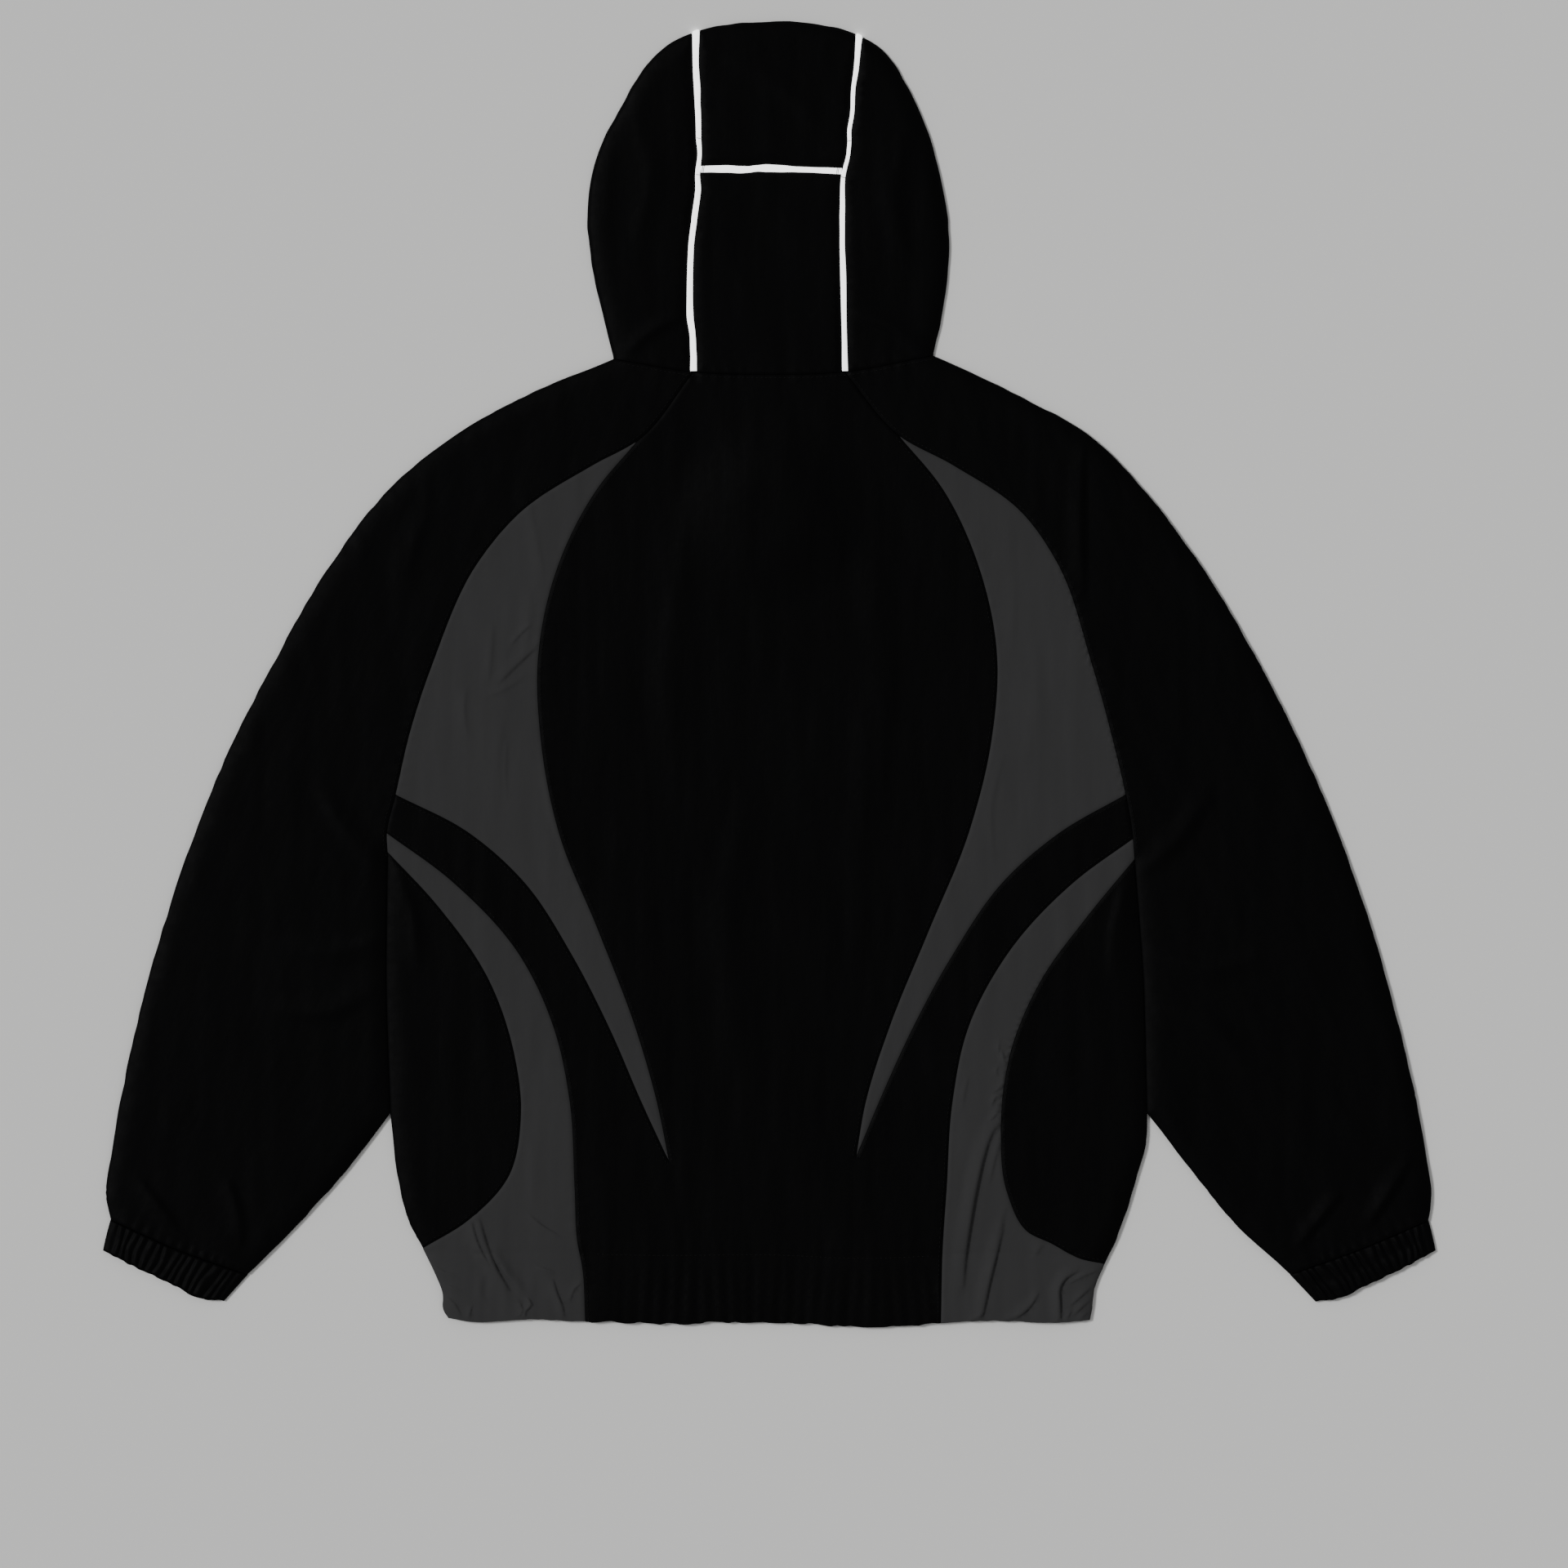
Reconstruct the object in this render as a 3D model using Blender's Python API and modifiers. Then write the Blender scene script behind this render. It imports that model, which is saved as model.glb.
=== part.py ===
"""Hooded track jacket, zipped up and laid out flat on its front, back side up.

World frame: +X to the right and +Y towards the hood as seen from above, +Z up.
The floor is z = 0 and the origin is the middle of the jacket's footprint.

The jacket lies in two layers. The lower layer holds the fronts, the front halves
of the sleeves and the underside of the hood, flat on the floor. The upper layer
holds the back, the back halves of the sleeves and the back of the hood, and rolls
down to the lower layer along every silhouette. Each cut piece is one thin wall.

All tables and lengths are in millimetres. MM turns them into metres.
"""
import math

import bmesh
import bpy
import numpy as np
from mathutils import Vector
from mathutils.geometry import delaunay_2d_cdt

for existing in list(bpy.data.objects):
    bpy.data.objects.remove(existing)

MM = 0.001

# Cloth
WALL = 1.2                    # thickness of every cloth wall
SEAM_GAP = 0.3                # between neighbouring pieces
ARM_GAP = 1.0                 # between a sleeve and the body that it lies beside
LOWER_MID = WALL / 2          # middle of the wall that lies on the floor
UPPER_EDGE = WALL + SEAM_GAP + WALL / 2   # middle of the upper wall along a silhouette
LOFT = 3.0                    # further rise of the upper wall inside the silhouettes
ROLL = 13.0                   # width of the strip in which the upper wall rolls down
FOLD_RADIUS = 0.9             # where one piece folds round from the upper to the lower layer
FOLD_TRIM = 1.2               # a fold stops this far short of its ends

# Reflective piping
PIPING_WIDTH = {"piping_left": 5.0, "piping_right": 4.4, "piping_cross": 6.0}
PIPING_THICK = 1.6
PIPING_PROUD = 0.3            # its middle stands this far above the panels' middle
NECK_CLEAR = 0.8              # its square end stops this far above the slanting neck seam

# Zip at the centre front
ZIP_GAP = 5.0                 # from the centre line to each front's edge
TAPE_WIDTH = 15.0
TAPE_THICK = 1.0
TAPE_BOTTOM = -474.0
TAPE_TOP = 137.0
CHAIN_WIDTH = 3.0             # one row of teeth
OPEN_CHAIN = 2.0              # above the slider the teeth's edge is this far from the centre
SLIDER_Y = 122.0              # middle of the slider
SLIDER_LENGTH = 12.0
SLIDER_WIDTH = 9.0
HINGE_Y = SLIDER_Y - 1.5      # the pull's axis, inside the arch
PLATE_THICK = 1.2
PULL_LENGTH = 22.0
PULL_WIDTH = 7.0
PULL_THICK = 1.0
PULL_CORNER = 1.6
PULL_WINDOW = (4.6, 5.1)      # width and length of the opening that the arch goes through
POST_WIDTH = 2.6
POST_DEPTH = 2.3
ARCH_WIDTH = 2.0
ARCH_LENGTH = 7.0
ARCH_RISE = 2.4
ARCH_WALL = 0.8
LIFT = 4.2                    # the slider and its pull hold the cloth this far up
LIFT_FLAT = 18.0              # radius over which they hold it level
LIFT_REACH = 75.0             # radius at which the lift has died away

# Mesh spacing
SPACING = 17.0
LOWER_SPACING = 220.0         # the lower layer is flat
HEM_SPACING = 6.3
EDGE_CLEAR = 4.0              # inner mesh points keep this far from a panel's edge
ROLL_ROWS = (4.6, 10.5)       # rows of mesh points this far inside every silhouette

# Smooth seam lines and edges, through (x, y) points.
CURVES = {
    # silhouette of the hood, from the left neck point over the top to the right one
    "hood_edge": [
        (-113.7, 231), (-117.8, 248), (-129.6, 298), (-133.2, 330), (-123.5, 387), (-108.6, 416),
        (-81.6, 456), (-53.7, 471.6), (-28, 477), (-0.3, 478.8), (35, 477), (66.3, 468.6),
        (84.3, 457.2), (101, 432), (116, 399), (127.6, 357), (132.2, 315), (128.7, 272),
        (120.3, 233.4)],
    "neckline": [(-113.7, 231), (-55.5, 221.4), (-0.3, 219.6), (55.5, 221.4), (120.3, 233.4)],
    # piping seams of the hood, from the neck seam up; the cross piping meets them at point 3
    "piping_left": [
        (-55.5, 221.4), (-58, 264), (-56.7, 321), (-52.2, 369.6),
        (-51.6, 405), (-53.4, 441), (-53.7, 471.6)],
    "piping_right": [
        (55.5, 221.4), (54.3, 270), (53.7, 324), (55.5, 368.4),
        (59.7, 405), (63.3, 438), (66.3, 468.6)],
    "piping_cross": [(-52.2, 369.6), (2, 370.8), (55.5, 368.4)],
    # outer edges of the sleeves, from the neck point to the cuff seam
    "overarm_left": [
        (-113.7, 231), (-173, 206.4), (-237.3, 170.4), (-279.7, 134.4), (-321.7, 80), (-363, 9),
        (-399.3, -63), (-434, -153), (-464.7, -261), (-482.4, -352), (-486.3, -386), (-483, -400.8)],
    "overarm_right": [
        (120.3, 233.4), (177.3, 207), (239.7, 171), (275, 135), (316, 81), (359, 9),
        (395, -63), (431, -153), (463, -261), (481.8, -351), (486.3, -387), (484, -401.4)],
    # raglan seams on the back, from the neck seam to the armpit
    "raglan_left": [
        (-55.5, 221.4), (-95.7, 171.6), (-129.3, 153), (-184, 117), (-214, 81), (-246.3, 9),
        (-264, -45), (-274, -88.8), (-280.5, -117), (-280, -130.8)],
    "raglan_right": [
        (55.5, 221.4), (95, 175.2), (135.3, 153), (187, 117), (212, 81), (236.7, 9),
        (251.7, -45), (262, -88.8), (267.3, -121.2), (268.5, -136.2)],
    # inner edges of the upper back insets, from the raglan seam to the low tip
    "inset_left": [
        (-95.7, 171.6), (-126.3, 135), (-154, 81), (-169.5, 9), (-167.7, -45), (-154, -117),
        (-125, -189), (-97.5, -261), (-82, -315), (-73, -358.8)],
    "inset_right": [
        (95, 175.2), (128, 135), (153.3, 81), (167.7, 9), (164, -45), (146.7, -117),
        (117.3, -189), (88, -261), (71, -315), (64, -355.2)],
    # upper and lower edges of the dark arms that sweep from the armpits to the middle
    "sweep_top_left": [
        (-274, -88.8), (-220, -117), (-179.7, -153), (-144.3, -207), (-116.7, -261),
        (-93.3, -315), (-73, -358.8)],
    "sweep_top_right": [
        (262, -88.8), (213.3, -117), (172, -153), (134.7, -207), (105.3, -261),
        (80.7, -315), (64, -355.2)],
    "sweep_low_left": [
        (-280.5, -117), (-232, -153), (-182.7, -207), (-157.5, -261), (-146, -315),
        (-142.5, -378), (-140.2, -419), (-137.2, -434), (-134.7, -475.8)],
    "sweep_low_right": [
        (267.3, -121.2), (224, -153), (174.3, -207), (146, -261), (134.7, -315),
        (130.5, -378), (127.5, -423), (126.3, -477)],
    # upper edges of the side pieces, from the armpit round to the side seam
    "side_top_left": [
        (-280, -130.8), (-242.7, -171), (-205.5, -225), (-187, -279), (-182, -324),
        (-191, -369), (-220, -400.8), (-254, -421.8)],
    "side_top_right": [
        (268.5, -136.2), (232.5, -180), (200, -225), (177.3, -279), (170.4, -336),
        (175, -381), (190, -409.8), (206.8, -418), (229.5, -429.8), (246.3, -433.2)],
    # lines along which the inner side of a sleeve lies against the body
    "inner_arm_left": [(-280, -130.8), (-281, -225), (-278, -322.2)],
    "inner_arm_right": [(268.5, -136.2), (275, -225), (277.5, -322.2)],
    "under_arm_left": [(-278, -322.2), (-314, -369), (-346.8, -405), (-383, -441)],
    "under_arm_right": [(277.5, -322.2), (314, -369), (343.5, -405), (383, -441)],
    "side_left": [
        (-278, -322.2), (-272.3, -369), (-264.4, -401), (-254, -421.8), (-245.4, -440),
        (-239.6, -456), (-239, -467), (-235, -473.2)],
    "side_right": [
        (277.5, -322.2), (276.4, -346), (270.6, -367), (255.2, -414.6), (246.3, -433.2),
        (238.5, -452), (237, -466), (235.5, -474.6)],
    "hem": [
        (-235, -473.2), (-222, -475.4), (-172, -474.3), (-134.7, -475.8), (-87.3, -477),
        (-0.3, -476.6), (72.3, -479.2), (126.3, -477), (150, -475.4), (222, -476),
        (235.5, -474.6)],
    "cuff_seam_left": [(-483, -400.8), (-434, -423), (-383, -441)],
    "cuff_seam_right": [(484, -401.4), (434.7, -422.4), (383, -441)],
    "cuff_outer_left": [(-483, -400.8), (-486.3, -412), (-488.7, -423.6)],
    "cuff_outer_right": [(484, -401.4), (486.6, -412), (489.3, -423.6)],
    "cuff_end_left": [
        (-488.7, -423.6), (-465, -436.4), (-441.3, -447.2), (-415.5, -459.6), (-401, -461)],
    "cuff_end_right": [
        (489.3, -423.6), (465.5, -437), (441.9, -448), (416, -459.6), (402.3, -461.4)],
    "cuff_inner_left": [(-383, -441), (-401, -461)],
    "cuff_inner_right": [(383, -441), (402.3, -461.4)],
    # hidden side
    "front_neck_left": [
        (-113.7, 231), (-103, 195), (-81.3, 168), (-46, 148), (-ZIP_GAP, 140)],
    "front_neck_right": [
        (120.3, 233.4), (105, 195), (81.3, 168), (46, 148), (ZIP_GAP, 140)],
    "raglan_front_left": [
        (-81.3, 168), (-133, 129), (-193, 69), (-238, -15), (-265, -87), (-280, -130.8)],
    "raglan_front_right": [
        (81.3, 168), (133, 129), (193, 69), (237, -15), (259.5, -87), (268.5, -136.2)],
    "front_edge_left": [(-ZIP_GAP, 140), (-ZIP_GAP, -476.6)],
    "front_edge_right": [(ZIP_GAP, 140), (ZIP_GAP, -476.6)],
    "face_left": [(-ZIP_GAP, 140), (-34, 201), (-46.5, 273), (-45.3, 351), (-34, 405)],
    "face_right": [(ZIP_GAP, 140), (34, 201), (46.5, 273), (45.3, 351), (34, 405)],
    "face_top": [(-34, 405), (-0.3, 418), (34, 405)],
    "under_seam_left": [(-53.7, 471.6), (-34, 405)],
    "under_seam_right": [(66.3, 468.6), (34, 405)],
    "front_hem_left": [
        (-235, -473.2), (-222, -475.4), (-172, -474.3), (-87.3, -477), (-ZIP_GAP, -476.6)],
    "front_hem_right": [
        (235.5, -474.6), (222, -476), (150, -475.4), (72.3, -479.2), (ZIP_GAP, -476.6)],
}

# Lines where the upper layer comes down to the lower one.
SILHOUETTES = (
    "hood_edge", "overarm_left", "overarm_right", "inner_arm_left", "inner_arm_right",
    "under_arm_left", "under_arm_right", "side_left", "side_right",
    "cuff_outer_left", "cuff_outer_right", "cuff_inner_left", "cuff_inner_right")
HEM_OPEN = 0.45               # the open hem keeps this share of the rise

# Pieces in one layer. Each outline is a run of (curve, first point, last point).
UPPER_PANELS = {
    "back_center": ("black_cloth", [
        ("neckline", 1, 3), ("raglan_right", 0, 1), ("inset_right", 0, 9),
        ("sweep_top_right", 6, 0), ("raglan_right", 7, 8), ("sweep_low_right", 0, 7),
        ("hem", 7, 3), ("sweep_low_left", 8, 0), ("raglan_left", 8, 7),
        ("sweep_top_left", 0, 6), ("inset_left", 9, 0), ("raglan_left", 1, 0)]),
    "back_upper_inset_left": ("gray_cloth", [
        ("inset_left", 0, 9), ("sweep_top_left", 6, 0), ("raglan_left", 7, 1)]),
    "back_upper_inset_right": ("gray_cloth", [
        ("inset_right", 0, 9), ("sweep_top_right", 6, 0), ("raglan_right", 7, 1)]),
    "back_lower_inset_left": ("gray_cloth", [
        ("sweep_low_left", 0, 8), ("hem", 3, 0), ("side_left", 7, 3),
        ("side_top_left", 7, 0), ("raglan_left", 9, 8)]),
    "back_lower_inset_right": ("gray_cloth", [
        ("sweep_low_right", 0, 7), ("hem", 7, 10), ("side_right", 7, 4),
        ("side_top_right", 9, 0), ("raglan_right", 9, 8)]),
    "back_side_left": ("black_cloth", [
        ("side_top_left", 0, 7), ("side_left", 3, 0), ("inner_arm_left", 2, 0)]),
    "back_side_right": ("black_cloth", [
        ("side_top_right", 0, 9), ("side_right", 4, 0), ("inner_arm_right", 2, 0)]),
    "sleeve_back_left": ("black_cloth", [
        ("overarm_left", 0, 11), ("cuff_seam_left", 0, 2), ("under_arm_left", 3, 0),
        ("inner_arm_left", 2, 0), ("raglan_left", 9, 0), ("neckline", 1, 0)]),
    "sleeve_back_right": ("black_cloth", [
        ("overarm_right", 0, 11), ("cuff_seam_right", 0, 2), ("under_arm_right", 3, 0),
        ("inner_arm_right", 2, 0), ("raglan_right", 9, 0), ("neckline", 3, 4)]),
    "hood_nape": ("black_cloth", [
        ("piping_left", 0, 3), ("piping_cross", 0, 2), ("piping_right", 3, 0),
        ("neckline", 3, 1)]),
}
LOWER_PANELS = {
    "front_left": ("black_cloth", [
        ("front_neck_left", 2, 4), ("front_edge_left", 0, 1), ("front_hem_left", 4, 0),
        ("side_left", 7, 0), ("inner_arm_left", 2, 0), ("raglan_front_left", 5, 0)]),
    "front_right": ("black_cloth", [
        ("front_neck_right", 2, 4), ("front_edge_right", 0, 1), ("front_hem_right", 4, 0),
        ("side_right", 7, 0), ("inner_arm_right", 2, 0), ("raglan_front_right", 5, 0)]),
    "sleeve_front_left": ("black_cloth", [
        ("overarm_left", 0, 11), ("cuff_seam_left", 0, 2), ("under_arm_left", 3, 0),
        ("inner_arm_left", 2, 0), ("raglan_front_left", 5, 0), ("front_neck_left", 2, 0)]),
    "sleeve_front_right": ("black_cloth", [
        ("overarm_right", 0, 11), ("cuff_seam_right", 0, 2), ("under_arm_right", 3, 0),
        ("inner_arm_right", 2, 0), ("raglan_front_right", 5, 0), ("front_neck_right", 2, 0)]),
}
# Pieces that fold round a silhouette: the fold first, then the rest of each layer's outline.
FOLDED_PANELS = {
    "hood_side_left": ("black_cloth", ("hood_edge", 0, 7),
                       [("piping_left", 6, 0), ("neckline", 1, 0)],
                       [("under_seam_left", 0, 1), ("face_left", 4, 0), ("front_neck_left", 4, 0)]),
    "hood_side_right": ("black_cloth", ("hood_edge", 11, 18),
                        [("neckline", 4, 3), ("piping_right", 0, 6)],
                        [("front_neck_right", 0, 4), ("face_right", 0, 4),
                         ("under_seam_right", 1, 0)]),
    "hood_crown": ("black_cloth", ("hood_edge", 7, 11),
                   [("piping_right", 6, 3), ("piping_cross", 2, 0), ("piping_left", 3, 6)],
                   [("under_seam_right", 0, 1), ("face_top", 2, 0), ("under_seam_left", 1, 0)]),
}

# Folds of the upper layer: name, path, height, width of the gentle side, width of the steep
# side, and which side of the path is gentle (1 is the left as the path runs).
FOLDS = [
    ("left_hip", [(-219, -402), (-209, -424), (-200, -444), (-180, -464)], 5.2, 13.0, 6.0, -1),
    ("left_hem", [(-159, -440), (-153, -456), (-150, -472)], 3.2, 9.0, 5.0, -1),
    ("left_casing", [(-178, -394), (-166, -404), (-153, -412)], 1.5, 8.0, 5.0, 1),
    ("right_hip", [(169, -329), (160, -353), (151, -393), (144, -434)], 5.2, 13.0, 6.0, -1),
    ("right_hip_low", [(174, -407), (163, -439), (154, -472)], 4.4, 12.0, 6.0, -1),
    ("right_hem", [(197, -456), (188, -466), (177, -473)], 2.6, 9.0, 5.0, -1),
    ("right_side_hem", [(226, -437), (214, -449), (214, -474)], 3.8, 9.0, 5.0, -1),
    ("right_side_low", [(237, -452), (230, -458), (224, -464)], 2.4, 7.0, 5.0, -1),
    ("left_shoulder", [(-174, 18), (-184, 8), (-196, -4)], 2.0, 10.0, 6.0, 1),
    ("left_blade", [(-177, 112), (-172, 94), (-166, 76)], 1.6, 10.0, 6.0, -1),
    ("right_cuff", [(467, -364), (455, -382), (441, -401)], 3.0, 13.0, 7.0, 1),
    ("right_forearm", [(418, -383), (406, -398), (392, -414)], 2.6, 12.0, 7.0, 1),
    ("left_cuff", [(-462, -372), (-450, -388), (-436, -407)], 1.8, 12.0, 7.0, -1),
    ("left_forearm", [(-398, -372), (-390, -394), (-388, -418)], 1.6, 11.0, 7.0, 1),
    ("right_sleeve", [(230, 166), (229, 120), (230, 60)], 1.6, 14.0, 8.0, -1),
    ("left_underarm", [(-288, -140), (-310, -116), (-330, -84)], 1.6, 15.0, 9.0, -1),
    ("right_underarm", [(276, -144), (300, -122), (322, -88)], 1.6, 15.0, 9.0, 1),
]
HEM_GATHERS = 38              # waves along the back hem
HEM_GATHER_HEIGHT = 1.3
HEM_GATHER_DEPTH = 24.0       # they die out this far above the edge
HEM_ROWS = (7.0, 15.0)        # rows of mesh points this far above the hem
CUFF_GATHERS = 15             # waves on each side of a cuff
CUFF_GATHER_HEIGHT = 0.8
CUFF_LOFTS = (1.6, 1.45, 1.3)  # rise at the cuff's seam, middle and end


def scene_collection(name):
    collection = bpy.data.collections.new(name)
    bpy.context.scene.collection.children.link(collection)
    return collection


def make_material(name, color, roughness, metallic=0.0):
    material = bpy.data.materials.new(name)
    material.use_nodes = True
    shader = material.node_tree.nodes["Principled BSDF"]
    shader.inputs["Base Color"].default_value = (*color, 1.0)
    shader.inputs["Roughness"].default_value = roughness
    shader.inputs["Metallic"].default_value = metallic
    return material


# ---------------------------------------------------------------- curves and outlines

def smooth_spans(points, spacing):
    """A smooth curve through the points, as one list of samples for each span."""
    points = np.array(points, float)
    chords = np.linalg.norm(np.diff(points, axis=0), axis=1)
    place = np.concatenate([[0.0], np.cumsum(chords)])
    slopes = np.gradient(points, place, axis=0)
    spans = []
    for k, chord in enumerate(chords):
        count = max(1, round(chord / spacing))
        u = (np.arange(count + 1) / count)[:, None]
        spans.append((1 + 2 * u) * (1 - u) ** 2 * points[k]
                     + u * (1 - u) ** 2 * chord * slopes[k]
                     + u * u * (3 - 2 * u) * points[k + 1]
                     + u * u * (u - 1) * chord * slopes[k + 1])
    return spans


def curve_spacing(name):
    return HEM_SPACING if name == "hem" else SPACING


SPANS = {name: smooth_spans(points, curve_spacing(name)) for name, points in CURVES.items()}


def join_spans(spans):
    return np.concatenate([span[:-1] for span in spans] + [spans[-1][-1:]])


def stretch(name, first, last):
    """Samples of a curve between two of its points, in either direction."""
    samples = join_spans(SPANS[name][min(first, last):max(first, last)])
    return samples if first < last else samples[::-1]


def edge_inset(name):
    """How far a panel's edge stays inside a curve."""
    if name.startswith("inner_arm"):
        return ARM_GAP / 2
    width = PIPING_WIDTH.get(name.replace("under_seam", "piping"), 0.0)
    return width / 2 + SEAM_GAP if width else SEAM_GAP / 2


def signed_area(loop):
    x, y = loop[:, 0], loop[:, 1]
    return 0.5 * np.sum(x * np.roll(y, -1) - y * np.roll(x, -1))


def inset_loop(loop, insets):
    """Moves each side of an anticlockwise loop inwards by its own distance."""
    along = np.roll(loop, -1, axis=0) - loop
    along /= np.linalg.norm(along, axis=1)[:, None]
    after = np.stack([-along[:, 1], along[:, 0]], axis=1)
    before = np.roll(after, 1, axis=0)
    inset_before = np.roll(insets, 1)
    cross = before[:, 0] * after[:, 1] - before[:, 1] * after[:, 0]
    straight = np.abs(cross) < 0.02
    safe = np.where(straight, 1.0, cross)
    move = np.stack([inset_before * after[:, 1] - insets * before[:, 1],
                     insets * before[:, 0] - inset_before * after[:, 0]], axis=1) / safe[:, None]
    even = after * np.maximum(insets, inset_before)[:, None]
    move = np.where(straight[:, None], even, move)
    length = np.linalg.norm(move, axis=1)
    longest = 8 * np.maximum(insets, inset_before)
    move *= np.minimum(1.0, longest / np.maximum(length, 1e-9))[:, None]
    return loop + move


def outline(edges):
    """The inset outline of a piece, anticlockwise, from its runs of curves in any direction."""
    runs = [stretch(*edge) for edge in edges]
    insets = [np.full(len(run) - 1, edge_inset(edge[0])) for run, edge in zip(runs, edges)]
    joined = []
    for k, run in enumerate(runs):
        following = runs[(k + 1) % len(runs)]
        ends_meet = np.allclose(run[-1], following[0], atol=0.01)
        if not ends_meet:
            raise ValueError(f"{edges[k]} doesn't meet the next edge")
        joined.append(run[:-1])
    loop = np.concatenate(joined)
    distances = np.concatenate(insets)
    if signed_area(loop) < 0:
        loop = loop[::-1]
        distances = np.roll(distances[::-1], -1)
    return inset_loop(loop, distances)


def distance_to(lines, points):
    """Distance from each point to the nearest of several open polylines."""
    nearest = np.full(len(points), np.inf)
    for line in lines:
        start, way = line[:-1], np.diff(line, axis=0)
        offset = points[:, None, :] - start[None, :, :]
        share = np.clip((offset * way).sum(2) / (way * way).sum(1), 0, 1)
        gap = np.linalg.norm(offset - share[:, :, None] * way, axis=2).min(axis=1)
        nearest = np.minimum(nearest, gap)
    return nearest


def inside(points, loop):
    x, y = points[:, 0, None], points[:, 1, None]
    x0, y0 = loop[:, 0], loop[:, 1]
    x1, y1 = np.roll(x0, -1), np.roll(y0, -1)
    crosses = (y0 > y) != (y1 > y)
    rise = np.where(y1 == y0, 1e-9, y1 - y0)
    return (crosses & (x < x0 + (y - y0) * (x1 - x0) / rise)).sum(axis=1) % 2 == 1


def staggered_points(loop, spacing):
    """Points in a triangular pattern over the box of a loop."""
    rows = np.arange(math.floor(loop[:, 1].min() / spacing), loop[:, 1].max() / spacing, 0.866)
    points = []
    for number, row in enumerate(rows):
        columns = np.arange(math.floor(loop[:, 0].min() / spacing), loop[:, 0].max() / spacing)
        columns = columns + 0.5 * (number % 2)
        points.append(np.stack([columns, np.full(len(columns), row)], axis=1) * spacing)
    return np.concatenate(points)


# ---------------------------------------------------------------- heights

SILHOUETTE_LINES = [stretch(name, 0, len(SPANS[name])) for name in SILHOUETTES]
HEM_LINE = stretch("hem", 0, len(SPANS["hem"]))


def lift(points):
    """The rise of both layers over the slider and its pull."""
    centre = np.array([0.0, SLIDER_Y - 5.0])
    reach = np.linalg.norm(points - centre, axis=1)
    share = np.clip((reach - LIFT_FLAT) / (LIFT_REACH - LIFT_FLAT), 0, 1)
    return LIFT * (0.5 + 0.5 * np.cos(math.pi * share))


def sideways(line):
    """Unit vectors to the left of a line."""
    along = np.gradient(line, axis=0)
    along /= np.linalg.norm(along, axis=1)[:, None]
    return np.stack([-along[:, 1], along[:, 0]], axis=1)


def fold_rise(points, path, height, gentle, steep, gentle_side):
    """A ridge with a gentle and a steep side, which dies away at both ends."""
    line = join_spans(smooth_spans(path, 6.0))
    apart = distance_to([line], points)
    offsets = points[:, None, :] - line[None, :, :]
    nearest = np.linalg.norm(offsets, axis=2).argmin(axis=1)
    side = (offsets[np.arange(len(points)), nearest] * sideways(line)[nearest]).sum(axis=1)
    width = np.where(side * gentle_side >= 0, gentle, steep)
    taper = np.sin(math.pi * (0.08 + 0.84 * nearest / (len(line) - 1))) ** 0.7
    return height * taper * np.cos(0.5 * math.pi * np.clip(apart / width, 0, 1)) ** 2


def hem_waves(points):
    above = distance_to([HEM_LINE], points)
    fade = np.clip(1 - above / HEM_GATHER_DEPTH, 0, 1)
    width = HEM_LINE[-1, 0] - HEM_LINE[0, 0]
    phase = (points[:, 0] - HEM_LINE[0, 0]) / width * HEM_GATHERS * 2 * math.pi
    return HEM_GATHER_HEIGHT * fade * (1 - np.cos(phase)) / 2


def upper_mid(points):
    """Height of the middle of the upper wall."""
    share = np.clip(distance_to(SILHOUETTE_LINES, points) / ROLL, 0, 1)
    hem_share = np.clip(distance_to([HEM_LINE], points) / ROLL, 0, 1)
    share = np.minimum(share, HEM_OPEN + (1 - HEM_OPEN) * hem_share)
    rolled = np.sqrt(1 - (1 - share) ** 2)
    folds = sum(fold_rise(points, *row[1:]) for row in FOLDS)
    return UPPER_EDGE + (LOFT + folds) * rolled + lift(points) + hem_waves(points)


def lower_mid(points):
    """Height of the middle of the lower wall."""
    return LOWER_MID + lift(points)


def thin_out(points, distance):
    """Drops each point that crowds an earlier one."""
    kept = []
    for point in points:
        if not kept or np.linalg.norm(np.array(kept) - point, axis=1).min() > distance:
            kept.append(point)
    return np.array(kept)


def feature_points():
    """Rows of places on the crest and feet of each fold, along the hem and inside silhouettes."""
    rows = []
    for _, path, _, gentle, steep, gentle_side in FOLDS:
        line = join_spans(smooth_spans(path, 10.0))
        left = sideways(line) * gentle_side
        rows += [line, line + left * gentle, line - left * steep, line + left * gentle / 2]
    rows += [HEM_LINE + np.array([0.0, height]) for height in HEM_ROWS]
    for line in SILHOUETTE_LINES:
        for inset in ROLL_ROWS:
            rows += [line + sideways(line) * inset, line - sideways(line) * inset]
    return thin_out(np.concatenate(rows), 3.0)


# ---------------------------------------------------------------- meshes

def fill_loop(loop, features, grid_spacing):
    """Triangles over a loop, through the feature points and a staggered grid inside it."""
    ring = np.vstack([loop, loop[:1]])
    features = features[inside(features, loop)]
    features = features[distance_to([ring], features) > EDGE_CLEAR]
    grid = staggered_points(loop, grid_spacing)
    grid = grid[inside(grid, loop)]
    apart_from_edge = 0.42 * grid_spacing
    apart_from_features = 0.5 * grid_spacing
    grid = grid[distance_to([ring], grid) > apart_from_edge]
    if len(features) and len(grid):
        apart = np.linalg.norm(grid[:, None, :] - features[None, :, :], axis=2).min(axis=1)
        grid = grid[apart > apart_from_features]
    points = np.concatenate([loop, features, grid])
    count = len(loop)
    sides = [(k, (k + 1) % count) for k in range(count)]
    coordinates = [Vector(point) for point in points]
    filled = delaunay_2d_cdt(coordinates, sides, [list(range(count))], 1, 1e-5)
    return np.array([tuple(vertex) for vertex in filled[0]]), filled[2]


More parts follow.
